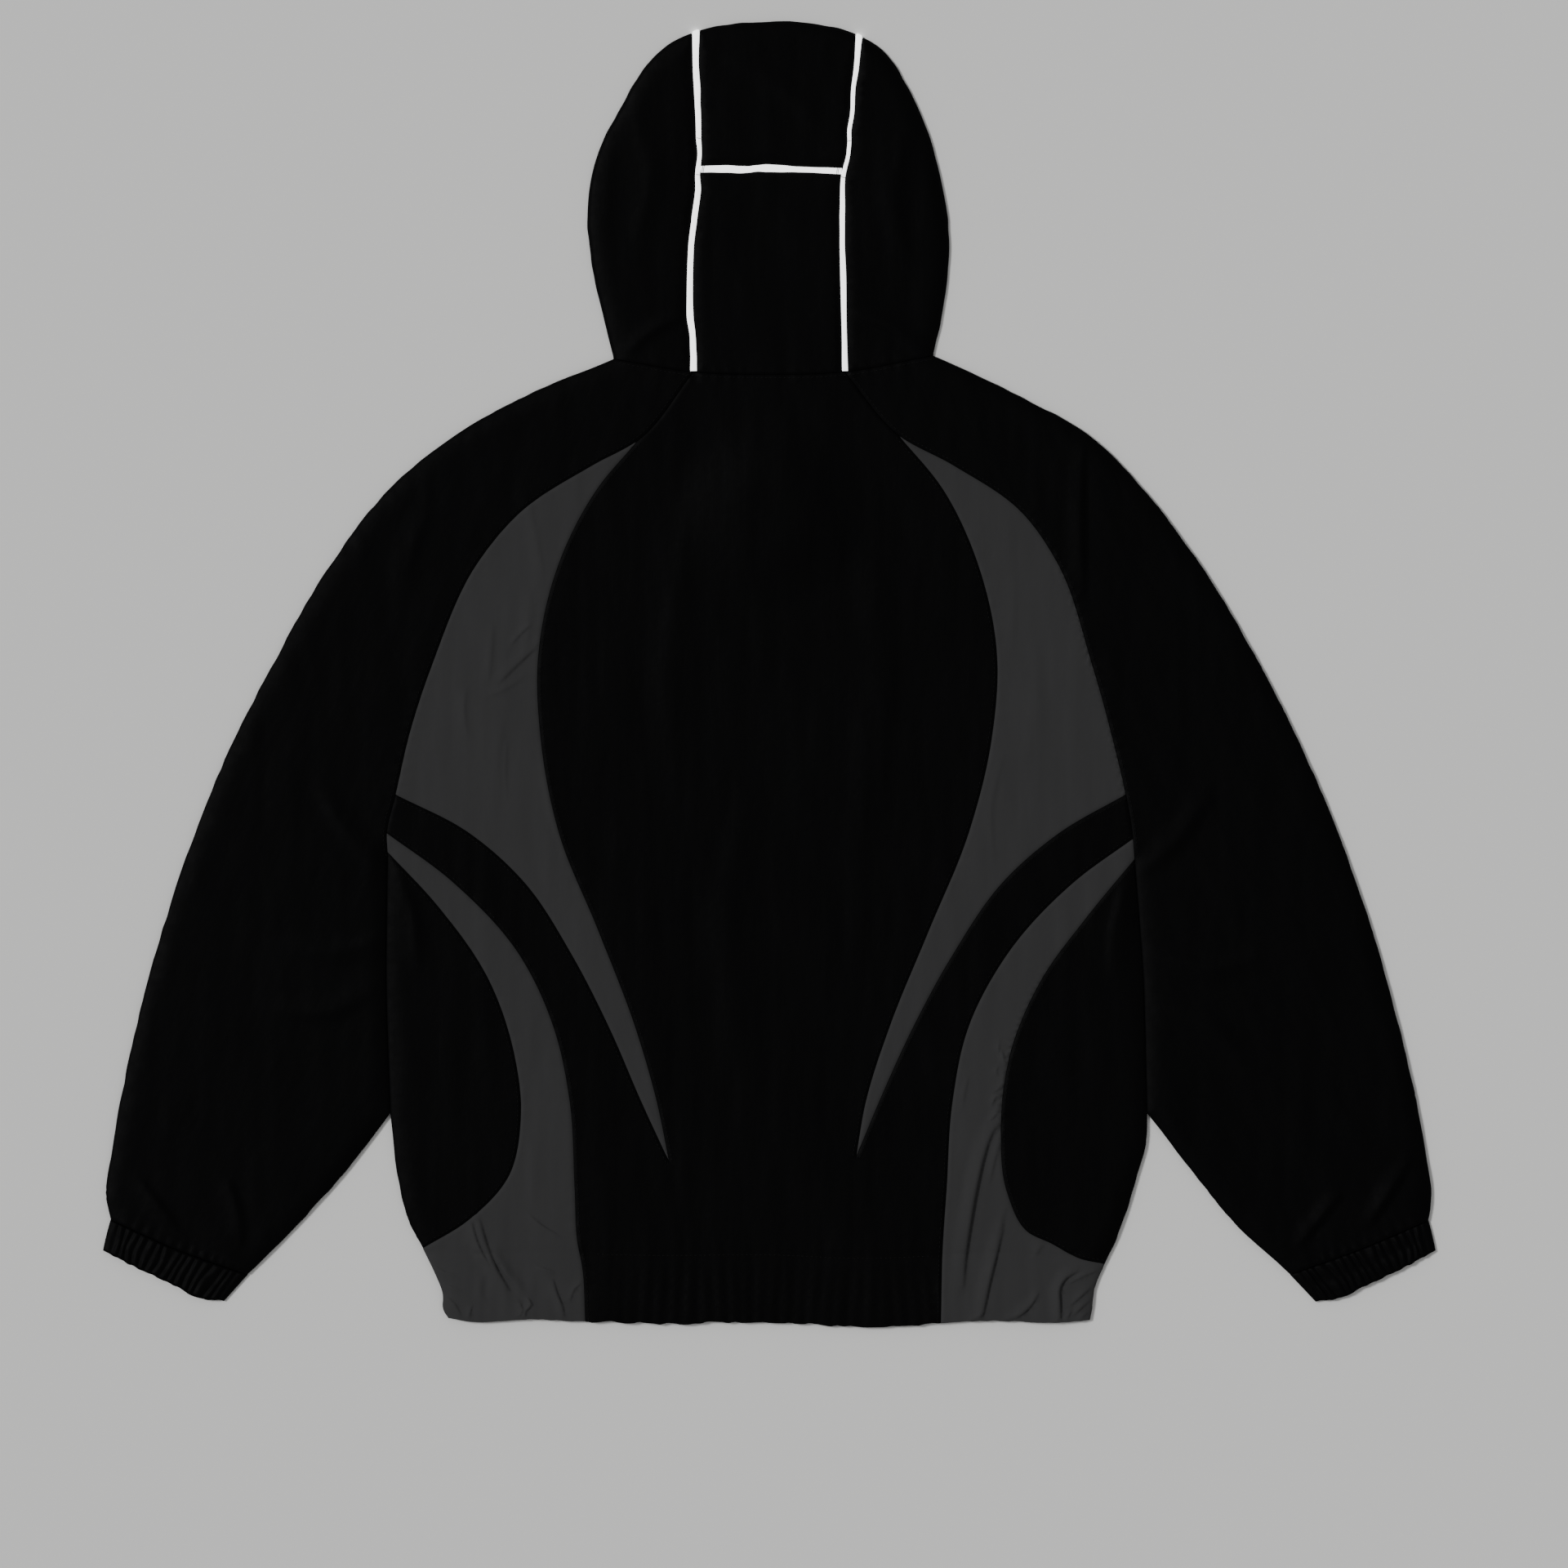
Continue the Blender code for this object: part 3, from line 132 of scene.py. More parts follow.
# Outlines read off the photograph, or guessed on the hidden side.
CURVES = {
    "hood_edge": [(-113.7, 231), (-117.8, 248), (-129.6, 298), (-133.2, 330), (-123.5, 387), (-108.6, 416),
        (-81.6, 456), (-53.7, 471.6), (-28, 477), (-0.3, 478.8), (35, 477), (66.3, 468.6), (84.3, 457.2),
        (101, 432), (116, 399), (127.6, 357), (132.2, 315), (128.7, 272), (120.3, 233.4)],
    "neckline": [(-113.7, 231), (-55.5, 221.4), (-0.3, 219.6), (55.5, 221.4), (120.3, 233.4)],
    "piping_left": [(-55.5, 221.4), (-58, 264), (-56.7, 321), (-52.2, 369.6), (-51.6, 405), (-53.4, 441),
        (-53.7, 471.6)],
    "piping_right": [(55.5, 221.4), (54.3, 270), (53.7, 324), (55.5, 368.4), (59.7, 405), (63.3, 438),
        (66.3, 468.6)],
    "piping_cross": [(-52.2, 369.6), (2, 370.8), (55.5, 368.4)],
    "overarm_left": [(-113.7, 231), (-173, 206.4), (-237.3, 170.4), (-279.7, 134.4), (-321.7, 80),
        (-363, 9), (-399.3, -63), (-434, -153), (-464.7, -261), (-482.4, -352), (-486.3, -386),
        (-483, -400.8)],
    "overarm_right": [(120.3, 233.4), (177.3, 207), (239.7, 171), (275, 135), (316, 81), (359, 9),
        (395, -63), (431, -153), (463, -261), (481.8, -351), (486.3, -387), (484, -401.4)],
    "raglan_left": [(-55.5, 221.4), (-95.7, 171.6), (-129.3, 153), (-184, 117), (-214, 81), (-246.3, 9),
        (-264, -45), (-274, -88.8), (-280.5, -117), (-280, -130.8)],
    "raglan_right": [(55.5, 221.4), (95, 175.2), (135.3, 153), (187, 117), (212, 81), (236.7, 9),
        (251.7, -45), (262, -88.8), (267.3, -121.2), (268.5, -136.2)],
    "inset_left": [(-95.7, 171.6), (-126.3, 135), (-154, 81), (-169.5, 9), (-167.7, -45), (-154, -117),
        (-125, -189), (-97.5, -261), (-82, -315), (-73, -358.8)],
    "inset_right": [(95, 175.2), (128, 135), (153.3, 81), (167.7, 9), (164, -45), (146.7, -117),
        (117.3, -189), (88, -261), (71, -315), (64, -355.2)],
    "sweep_top_left": [(-274, -88.8), (-220, -117), (-179.7, -153), (-144.3, -207), (-116.7, -261),
        (-93.3, -315), (-73, -358.8)],
    "sweep_top_right": [(262, -88.8), (213.3, -117), (172, -153), (134.7, -207), (105.3, -261),
        (80.7, -315), (64, -355.2)],
    "sweep_low_left": [(-280.5, -117), (-232, -153), (-182.7, -207), (-157.5, -261), (-146, -315),
        (-142.5, -378), (-140.2, -419), (-137.2, -434), (-134.7, -475.8)],
    "sweep_low_right": [(267.3, -121.2), (224, -153), (174.3, -207), (146, -261), (134.7, -315),
        (130.5, -378), (127.5, -423), (126.3, -477)],
    "side_top_left": [(-280, -130.8), (-242.7, -171), (-205.5, -225), (-187, -279), (-182, -324),
        (-191, -369), (-220, -400.8), (-254, -421.8)],
    "side_top_right": [(268.5, -136.2), (232.5, -180), (200, -225), (177.3, -279), (170.4, -336),
        (175, -381), (190, -409.8), (206.8, -418), (229.5, -429.8), (246.3, -433.2)],
    "inner_arm_left": [(-280, -130.8), (-281, -225), (-278, -322.2)],
    "inner_arm_right": [(268.5, -136.2), (275, -225), (277.5, -322.2)],
    "under_arm_left": [(-278, -322.2), (-314, -369), (-346.8, -405), (-383, -441)],
    "under_arm_right": [(277.5, -322.2), (314, -369), (343.5, -405), (383, -441)],
    "side_left": [(-278, -322.2), (-272.3, -369), (-264.4, -401), (-254, -421.8), (-245.4, -440),
        (-239.6, -456), (-239, -467), (-235, -473.2)],
    "side_right": [(277.5, -322.2), (276.4, -346), (270.6, -367), (255.2, -414.6), (246.3, -433.2),
        (238.5, -452), (237, -466), (235.5, -474.6)],
    "hem": [(-235, -473.2), (-222, -475.4), (-172, -474.3), (-134.7, -475.8), (-87.3, -477), (-0.3, -476.6),
        (72.3, -479.2), (126.3, -477), (150, -475.4), (222, -476), (235.5, -474.6)],
    "cuff_seam_left": [(-483, -400.8), (-434, -423), (-383, -441)],
    "cuff_seam_right": [(484, -401.4), (434.7, -422.4), (383, -441)],
    "cuff_outer_left": [(-483, -400.8), (-486.3, -412), (-488.7, -423.6)],
    "cuff_outer_right": [(484, -401.4), (486.6, -412), (489.3, -423.6)],
    "cuff_end_left": [(-488.7, -423.6), (-465, -436.4), (-441.3, -447.2), (-415.5, -459.6), (-401, -461)],
    "cuff_end_right": [(489.3, -423.6), (465.5, -437), (441.9, -448), (416, -459.6), (402.3, -461.4)],
    "cuff_inner_left": [(-383, -441), (-401, -461)],
    "cuff_inner_right": [(383, -441), (402.3, -461.4)],
    "front_neck_left": [(-113.7, 231), (-103, 195), (-81.3, 168), (-46, 148), (-ZIP_GAP, 140)],
    "front_neck_right": [(120.3, 233.4), (105, 195), (81.3, 168), (46, 148), (ZIP_GAP, 140)],
    "raglan_front_left": [(-81.3, 168), (-133, 129), (-193, 69), (-238, -15), (-265, -87), (-280, -130.8)],
    "raglan_front_right": [(81.3, 168), (133, 129), (193, 69), (237, -15), (259.5, -87), (268.5, -136.2)],
    "front_edge_left": [(-ZIP_GAP, 140), (-ZIP_GAP, -476.6)],
    "front_edge_right": [(ZIP_GAP, 140), (ZIP_GAP, -476.6)],
    "face_left": [(-ZIP_GAP, 140), (-34, 201), (-46.5, 273), (-45.3, 351), (-34, 405)],
    "face_right": [(ZIP_GAP, 140), (34, 201), (46.5, 273), (45.3, 351), (34, 405)],
    "face_top": [(-34, 405), (-0.3, 418), (34, 405)],
    "under_seam_left": [(-53.7, 471.6), (-34, 405)],
    "under_seam_right": [(66.3, 468.6), (34, 405)],
    "front_hem_left": [(-235, -473.2), (-222, -475.4), (-172, -474.3), (-87.3, -477), (-ZIP_GAP, -476.6)],
    "front_hem_right": [(235.5, -474.6), (222, -476), (150, -475.4), (72.3, -479.2), (ZIP_GAP, -476.6)],
}


def sides_of(template):
    """The sides that a name stands for: left and right with {}, else one without a name."""
    return list(enumerate(SIDES)) if "{}" in template else [(0, "")]


def names(*templates):
    """The names that templates stand for."""
    return [template.format(side) for template in templates for _, side in sides_of(template)]


SILHOUETTES = names(
    "hood_edge", "overarm_{}", "inner_arm_{}", "under_arm_{}", "side_{}", "cuff_outer_{}",
    "cuff_inner_{}")
UPPER_SEAMS = names(
    "neckline", "raglan_{}", "inset_{}", "sweep_top_{}", "sweep_low_{}", "side_top_{}",
    "cuff_seam_{}")
LOWER_SEAMS = names(
    "front_neck_{}", "raglan_front_{}", "under_seam_{}", "cuff_seam_{}", "front_edge_{}")

# Pieces as runs of curves, each from one of its points to another. {} stands for left and right,
# and a pair of point numbers is the left side's and the right side's.
UPPER_PANELS = {
    "back_center": [
        ("neckline", 1, 3), ("raglan_right", 0, 1), ("inset_right", 0, 9),
        ("sweep_top_right", 6, 0), ("raglan_right", 7, 8), ("sweep_low_right", 0, 7),
        ("hem", 7, 3), ("sweep_low_left", 8, 0), ("raglan_left", 8, 7),
        ("sweep_top_left", 0, 6), ("inset_left", 9, 0), ("raglan_left", 1, 0)],
    "back_upper_inset_{}": [("inset_{}", 0, 9), ("sweep_top_{}", 6, 0), ("raglan_{}", 7, 1)],
    "back_lower_inset_{}": [
        ("sweep_low_{}", 0, (8, 7)), ("hem", (3, 7), (0, 10)), ("side_{}", 7, (3, 4)),
        ("side_top_{}", (7, 9), 0), ("raglan_{}", 9, 8)],
    "back_side_{}": [("side_top_{}", 0, (7, 9)), ("side_{}", (3, 4), 0), ("inner_arm_{}", 2, 0)],
    "sleeve_back_{}": [
        ("overarm_{}", 0, 11), ("cuff_seam_{}", 0, 2), ("under_arm_{}", 3, 0),
        ("inner_arm_{}", 2, 0), ("raglan_{}", 9, 0), ("neckline", (1, 3), (0, 4))],
    "hood_nape": [
        ("piping_left", 0, 3), ("piping_cross", 0, 2), ("piping_right", 3, 0), ("neckline", 3, 1)],
}
LOWER_PANELS = {
    "front_{}": [
        ("front_neck_{}", 2, 4), ("front_edge_{}", 0, 1), ("front_hem_{}", 4, 0),
        ("side_{}", 7, 0), ("inner_arm_{}", 2, 0), ("raglan_front_{}", 5, 0)],
    "sleeve_front_{}": [
        ("overarm_{}", 0, 11), ("cuff_seam_{}", 0, 2), ("under_arm_{}", 3, 0),
        ("inner_arm_{}", 2, 0), ("raglan_front_{}", 5, 0), ("front_neck_{}", 2, 0)],
}
# Pieces that fold round the outline: the fold, then the other edges of each layer.
FOLDED_PANELS = {
    "hood_side_left": (
        ("hood_edge", 0, 7), [("piping_left", 6, 0), ("neckline", 1, 0)],
        [("under_seam_left", 0, 1), ("face_left", 4, 0), ("front_neck_left", 4, 0)]),
    "hood_side_right": (
        ("hood_edge", 11, 18), [("neckline", 4, 3), ("piping_right", 0, 6)],
        [("front_neck_right", 0, 4), ("face_right", 0, 4), ("under_seam_right", 1, 0)]),
    "hood_crown": (
        ("hood_edge", 7, 11),
        [("piping_right", 6, 3), ("piping_cross", 2, 0), ("piping_left", 3, 6)],
        [("under_seam_right", 0, 1), ("face_top", 2, 0), ("under_seam_left", 1, 0)]),
}
# Cuts too bowed for a plain rectangle, as (greatest width, length along their own bend).
CURVED_CUTS = {"back_upper_inset_left": (0.118, 0.585), "back_upper_inset_right": (0.114, 0.585)}

# How the piping wanders: distance from the start of its seam, shift to the left, width.
PIPING_BENDS = {
    "piping_left": [
        (0, -0.2, 4.8), (14, -1.0, 4.5), (26, -1.3, 4.3), (42, -0.1, 4.8), (58, -0.1, 4.3),
        (92, 0.0, 4.0), (112, -0.9, 4.1), (133, -1.4, 4.1), (146, 0.0, 3.4), (160, -0.9, 3.0),
        (174, 0.1, 3.8), (196, 0.2, 4.1), (209, -0.2, 4.7), (228, 0.2, 4.3), (250, 0.0, 5.0)],
    "piping_right": [
        (0, -0.4, 4.2), (28, -0.6, 3.6), (70, -0.7, 4.2), (98, -0.2, 3.6), (118, 0.1, 3.8),
        (141, 0.8, 3.1), (161, -1.5, 2.7), (168, -1.3, 2.8), (178, -0.1, 2.9), (190, -0.7, 2.9),
        (209, 0.4, 3.0), (224, -0.2, 3.6), (248, 0.0, 4.4)],
    "piping_cross": [
        (0, 0.6, 4.6), (8, 0.6, 4.8), (20, 0.3, 5.4), (32, -0.6, 5.2), (37, -0.6, 4.7),
        (44, 0.1, 4.6), (50, 0.2, 5.6), (60, 0.0, 5.2), (72, -0.1, 4.1), (84, 0.1, 3.9),
        (98, 0.3, 4.4)],
}

# Creases: path, height, width of the gentle side, width of the steep side, which side of the
# path is gentle (1 is the left as the path runs).
CREASES = [
    # lower inset, hip and hem on the left
    ([(-219, -401.5), (-215.4, -415), (-211.4, -424.5), (-206, -434)], 1.7, 8.0, 1.6, -1),
    ([(-212.6, -402.5), (-208.8, -416.5), (-204, -429.5), (-198.2, -441.5),
      (-191.5, -453)], 2.5, 10.0, 1.9, -1),
    ([(-204.5, -422), (-196, -435.5), (-187, -446.5), (-179, -456)], 1.8, 3.0, 6.0, -1),
    ([(-178, -458), (-174.5, -463), (-179, -468), (-178, -477)], 1.5, 4.0, 1.2, -1),
    ([(-183, -462), (-181, -467), (-184, -473)], 0.9, 3.5, 1.2, -1),
    ([(-158.6, -446), (-155.6, -456), (-151.9, -465), (-150.5, -474)], 1.8, 6.0, 1.3, -1),
    ([(-176.5, -397), (-166.5, -405.7), (-154, -413)], 0.9, 6.0, 1.3, -1),
    ([(-171, -435.5), (-157.5, -439.3)], 0.8, 4.0, 1.2, -1),
    ([(-248, -432), (-240, -439), (-230, -441)], 0.8, 4.0, 1.3, -1),
    ([(-242, -446), (-232, -451), (-224, -452)], 0.6, 4.0, 1.4, -1),
    ([(-241, -455), (-231, -463), (-226, -472)], 0.8, 4.5, 1.3, -1),
    ([(-219.5, -478), (-219.8, -470), (-218, -464)], 0.9, 3.5, 1.1, 1),
    ([(-136.8, -446.5), (-143, -451.5), (-146, -460)], 0.8, 3.5, 1.2, -1),
    ([(-206, -436), (-212, -452), (-205, -468)], 0.5, 7.0, 4.0, -1),
    ([(-174, -330), (-173.5, -356), (-175, -392)], 0.45, 9.0, 6.0, 1),
    # nicks beside the right lower inset's outer seam, then the hip and hem on the right
    ([(168.9, -270.5), (168.3, -278.5)], 0.6, 3.0, 1.3, -1),
    ([(170.9, -277), (172.4, -283.5), (174.2, -288)], 0.8, 3.0, 1.3, -1),
    ([(168.2, -288.6), (166.6, -291.6), (167.6, -295)], 0.6, 3.0, 1.3, -1),
    ([(172.6, -292), (171.2, -302.4), (165.6, -306.6)], 0.9, 3.0, 1.3, -1),
    ([(171, -308.6), (166, -310.6), (163.6, -316)], 1.0, 3.0, 1.3, -1),
    ([(168.9, -316.4), (167, -323), (162.2, -327.6)], 0.9, 3.0, 1.3, -1),
    ([(169.3, -328.5), (165.4, -333), (161.3, -341), (156.8, -355), (152.6, -373), (147.2, -403),
      (143.6, -428), (142, -449)], 3.0, 10.0, 2.3, -1),
    ([(172, -336), (166, -354), (161.5, -374)], 0.7, 5.0, 2.0, -1),
    ([(171, -408), (164.4, -434), (161, -448), (158.4, -460.5), (154.4, -477)], 2.4, 9.0, 2.0, -1),
    ([(158, -468), (153, -473), (148, -475)], 0.9, 4.0, 1.3, -1),
    ([(174, -390), (170, -403), (166, -420)], 0.6, 7.0, 3.0, -1),
    ([(197.5, -455), (191.5, -464), (185, -470), (175, -474.5)], 1.8, 6.0, 1.4, -1),
    ([(226, -438.5), (217.5, -443.5), (213.3, -450), (213.1, -462), (213.8, -479)], 2.6, 7.0, 1.5, -1),
    ([(242.5, -446), (232, -454), (222, -463)], 1.2, 4.5, 1.3, -1),
    ([(244, -437), (233, -441), (221, -447)], 0.9, 4.0, 1.3, -1),
    ([(238, -458), (231, -463.5), (224, -470)], 1.1, 4.0, 1.3, -1),
    ([(236, -468), (231, -471), (228, -476)], 0.9, 3.5, 1.2, -1),
    ([(222, -467), (219, -473), (218, -478)], 0.8, 3.5, 1.2, -1),
    ([(202, -414), (199, -421), (194, -428)], 0.5, 5.0, 2.2, -1),
    ([(146, -296), (143.6, -306), (142, -318)], 0.5, 5.0, 2.0, -1),
    # upper inset on the left
    ([(-171, 20), (-184, 8), (-198, -6)], 1.1, 8.0, 1.9, -1),
    ([(-175, 36), (-181, 31), (-189, 22)], 0.7, 4.5, 1.6, -1),
    ([(-180, -2), (-196, -12), (-206, -16)], 0.5, 6.0, 3.0, -1),
    ([(-196, -36), (-199, -60), (-198, -92)], 0.6, 8.0, 4.0, -1),
    ([(-178, 132), (-172, 104), (-166, 70)], 0.5, 9.0, 4.0, -1),
    ([(-176, 60), (-177, 34), (-180, 12)], 0.5, 9.0, 5.0, -1),
    ([(-203, 34), (-204, 16), (-206, -4)], 0.6, 6.0, 3.0, -1),
    ([(-223, -12), (-224, -28), (-222, -44)], 0.6, 6.0, 3.0, -1),
    ([(-193, -50), (-194, -70), (-193, -92)], 0.6, 6.0, 3.0, -1),
    ([(-165, -70), (-160, -100), (-150, -130)], 0.5, 7.0, 4.0, 1),
    # upper inset on the right
    ([(181, 82), (180, 50), (178, 14)], 0.3, 9.0, 5.0, -1),
    ([(171, -62), (163, -96), (165, -140)], 0.5, 7.0, 3.5, -1),
    ([(196, 22), (196, -20), (190, -62)], 0.4, 12.0, 7.0, 1),
    # sleeves
    ([(468, -360), (455, -382), (441, -403)], 2.0, 12.0, 4.0, -1),
    ([(418, -383), (406, -398), (390, -418)], 1.8, 11.0, 4.0, -1),
    ([(-462, -372), (-450, -388), (-436, -407)], 1.4, 12.0, 5.0, -1),
    ([(-398, -372), (-390, -394), (-388, -418)], 1.3, 11.0, 5.0, -1),
    ([(-286, -196), (-318, -204), (-352, -198)], 1.2, 15.0, 9.0, 1),
    ([(-290, -232), (-322, -248), (-360, -246)], 1.1, 15.0, 9.0, -1),
    ([(288, -206), (322, -216), (360, -208)], 1.2, 15.0, 9.0, -1),
    ([(292, -246), (326, -262), (356, -292)], 1.1, 15.0, 9.0, 1),
    ([(276, -144), (300, -122), (322, -88)], 1.4, 15.0, 8.0, 1),
    ([(-288, -140), (-310, -116), (-330, -84)], 1.4, 15.0, 8.0, -1),
    # armpits
    ([(-274, -142), (-262, -176), (-258, -214)], 1.1, 12.0, 7.0, -1),
    ([(264, -150), (254, -184), (252, -222)], 1.1, 12.0, 7.0, 1),
    # sleeve tops
    ([(230, 166), (229, 120), (230, 60)], 1.4, 14.0, 4.0, -1),
    ([(-250, 120), (-262, 92), (-268, 62)], 1.1, 16.0, 8.0, -1),
    # back
    ([(-60, 120), (-72, 20), (-66, -90)], 1.0, 22.0, 14.0, 1),
    ([(74, 96), (84, 0), (70, -120)], 0.9, 22.0, 14.0, -1),
    ([(-10, -70), (-34, -180), (-20, -300)], 0.9, 24.0, 16.0, 1),
    # hood and its foot
    ([(-96, 410), (-88, 366), (-94, 320)], 1.1, 16.0, 9.0, 1),
    ([(98, 400), (92, 352), (100, 300)], 1.1, 16.0, 9.0, -1),
    ([(-30, 452), (8, 430), (36, 404)], 0.8, 14.0, 9.0, 1),
    ([(-104, 236), (-82, 254), (-64, 262)], 1.1, 10.0, 6.0, 1),
    ([(110, 240), (86, 256), (66, 262)], 1.1, 10.0, 6.0, -1),
]
# Waves of the lower layer, which lies on the floor: the same columns.
UNDER_CREASES = [
    # fronts
    ([(-64, 60), (-82, -40), (-74, -150)], 0.9, 17.0, 8.0, 1),
    ([(58, 92), (76, 6), (66, -96)], 0.8, 16.0, 7.0, -1),
    ([(-44, -250), (-62, -320), (-54, -404)], 0.7, 14.0, 6.0, 1),
    ([(52, -196), (44, -286), (60, -366)], 0.8, 15.0, 7.0, -1),
    ([(-168, -20), (-192, -110), (-186, -210)], 0.9, 16.0, 7.0, 1),
    ([(160, 8), (184, -84), (172, -170)], 0.9, 16.0, 6.0, -1),
    ([(-214, -300), (-196, -356), (-204, -424)], 0.8, 12.0, 5.0, 1),
    ([(206, -280), (190, -350), (200, -418)], 0.9, 12.0, 5.0, -1),
    ([(-128, -380), (-120, -416), (-126, -462)], 0.9, 9.0, 3.5, 1),
    ([(112, -366), (120, -410), (112, -462)], 0.9, 9.0, 3.5, -1),
    ([(-84, -428), (-80, -446), (-83, -466)], 0.8, 6.0, 2.5, 1),
    ([(158, -426), (154, -446), (158, -466)], 0.8, 6.0, 2.5, -1),
    ([(-92, 124), (-124, 96), (-150, 60)], 0.8, 13.0, 6.0, 1),
    ([(96, 128), (130, 98), (158, 66)], 0.8, 13.0, 6.0, -1),
    ([(-262, -150), (-240, -176), (-224, -214)], 0.8, 12.0, 5.0, -1),
    ([(254, -156), (232, -184), (220, -226)], 0.8, 12.0, 5.0, 1),
    # sleeves
    ([(-246, 60), (-300, -24), (-336, -110)], 0.9, 16.0, 8.0, 1),
    ([(240, 72), (296, -16), (330, -96)], 0.9, 16.0, 8.0, -1),
    ([(-300, -196), (-338, -214), (-380, -210)], 1.0, 14.0, 6.0, 1),
    ([(296, -210), (336, -224), (378, -216)], 1.0, 14.0, 6.0, -1),
    ([(-330, -300), (-376, -318), (-420, -312)], 0.9, 12.0, 5.0, 1),
    ([(334, -290), (378, -312), (424, -308)], 0.9, 12.0, 5.0, -1),
    ([(-452, -370), (-440, -388), (-424, -412)], 0.9, 9.0, 4.0, -1),
    ([(458, -366), (446, -386), (430, -410)], 0.9, 9.0, 4.0, 1),
    # hood
    ([(-92, 250), (-84, 310), (-88, 366)], 0.9, 14.0, 6.0, 1),
    ([(92, 244), (84, 300), (90, 356)], 0.9, 14.0, 6.0, -1),
]
# Puckers where a seam draws the cloth in: seam, stretch along it, pitch, height, reach, slant,
# side of the seam (0 is both). They fade over PUCKER_FADE at both ends of the stretch.
PUCKER_FADE = 18
PUCKERS = [
    ("raglan_right", (205, 425), 6.5, 0.8, 7.0, 1.6, -1),
    ("raglan_right", (150, 425), 9.0, 0.3, 12.0, 0.5, 1),
    ("side_top_right", (90, 240), 6.0, 0.7, 6.5, 1.0, -1),
    ("side_top_right", (60, 200), 10.0, 0.3, 10.0, 0.5, 1),
    ("raglan_left", (120, 420), 11.0, 0.35, 12.0, 0.5, 0),
    ("side_top_left", (20, 240), 12.0, 0.28, 9.0, 0.4, 0),
    *((seam, (20, 560), 14.0, 0.22, 9.0, 0.3, 0) for seam in names("inset_{}")),
    *((seam, (10, 400), 13.0, 0.24, 9.0, 0.3, 0) for seam in names("sweep_low_{}")),
    ("neckline", (4, 232), 10.0, 0.4, 14.0, 0.2, 0),
    *((seam, (20, 860), 23.0, 0.4, 14.0, 0.5, 0) for seam in names("overarm_{}")),
    *((seam, (2, 106), 8.5, 1.1, 34.0, 0.0, 0) for seam in names("cuff_seam_{}")),
]


# ---------------------------------------------------------------- curves and outlines

def xy(x, y):
    """Points from their coordinates, either of which may be one number for all."""
    return np.stack(np.broadcast_arrays(x, y), axis=-1)


def unit(vectors):
    return vectors / np.linalg.norm(vectors, axis=-1, keepdims=True)


def left_of(vectors):
    """Each vector turned a quarter turn to the left."""
    return xy(-vectors[..., 1], vectors[..., 0])


def sideways(line):
    """Unit vectors to the left of a line."""
    return left_of(unit(np.gradient(line, axis=0)))


def smooth_step(x):
    x = np.clip(x, 0, 1)
    return x * x * (3 - 2 * x)


def lengths_along(line):
    return np.concatenate([[0.0], np.cumsum(np.linalg.norm(np.diff(line, axis=0), axis=1))])


def smooth_spans(points, spacing):
    """A smooth curve through the points, as one list of samples for each span."""
    points = np.array(points, float)
    chords = np.linalg.norm(np.diff(points, axis=0), axis=1)
    slopes = np.gradient(points, lengths_along(points), axis=0)
    spans = []
    for k, chord in enumerate(chords):
        count = max(1, round(chord / spacing))
        u = (np.arange(count + 1) / count)[:, None]
        spans.append((1 + 2 * u) * (1 - u) ** 2 * points[k]
                     + u * (1 - u) ** 2 * chord * slopes[k]
                     + u * u * (3 - 2 * u) * points[k + 1]
                     + u * u * (u - 1) * chord * slopes[k + 1])
    return spans


def join_spans(spans):
    return np.concatenate([span[:-1] for span in spans] + [spans[-1][-1:]])


def resample(line, step):
    """Even points about `step` apart along a polyline."""
    place = lengths_along(line)
    at = np.linspace(0, place[-1], max(2, round(place[-1] / step) + 1))
    return xy(*(np.interp(at, place, axis) for axis in line.T))


def patches(points, size, seed):
    """Smooth noise between -1 and 1, in lumps of size (x, y)."""
    table = np.random.default_rng(seed).uniform(-1, 1, (64, 64))
    place = points / np.array(size, float)
    cell = np.floor(place).astype(int)
    (a, b), (a1, b1), (u, v) = cell.T % 64, (cell.T + 1) % 64, smooth_step(place - cell).T
    low = table[a, b] * (1 - u) + table[a1, b] * u
    high = table[a, b1] * (1 - u) + table[a1, b1] * u
    return low * (1 - v) + high * v


def gathered(points):
    return (points[:, 0] > GATHERED[0]) & (points[:, 0] < GATHERED[1])


def rippled(name, spans):
    """Spans of an outer edge with the small unevenness of sewn cloth; their ends stay."""
    line = join_spans(spans)
    place = lengths_along(line)
    fade = smooth_step(place / RIPPLE_FADE) * smooth_step((place[-1] - place) / RIPPLE_FADE)
    if "hem" in name:
        at = xy(line[:, 0], 0.0)
        move = xy(0.0, np.where(gathered(line), HEM_RIPPLE[0], PLAIN_RIPPLE[0]))
        pitches, seed = HEM_RIPPLE[1:], 61
    else:
        at = xy(place, 0.0)
        move = PLAIN_RIPPLE[0] * sideways(line)
        pitches, seed = PLAIN_RIPPLE[1:], 62
    uneven = patches(at, (pitches[0], 9.0), seed) + 0.8 * patches(at, (pitches[1], 9.0), seed + 2)
    line = line + move * (uneven * fade)[:, None]
    ends = np.cumsum([0] + [len(span) - 1 for span in spans])
    return [line[low:high + 1] for low, high in zip(ends, ends[1:])]


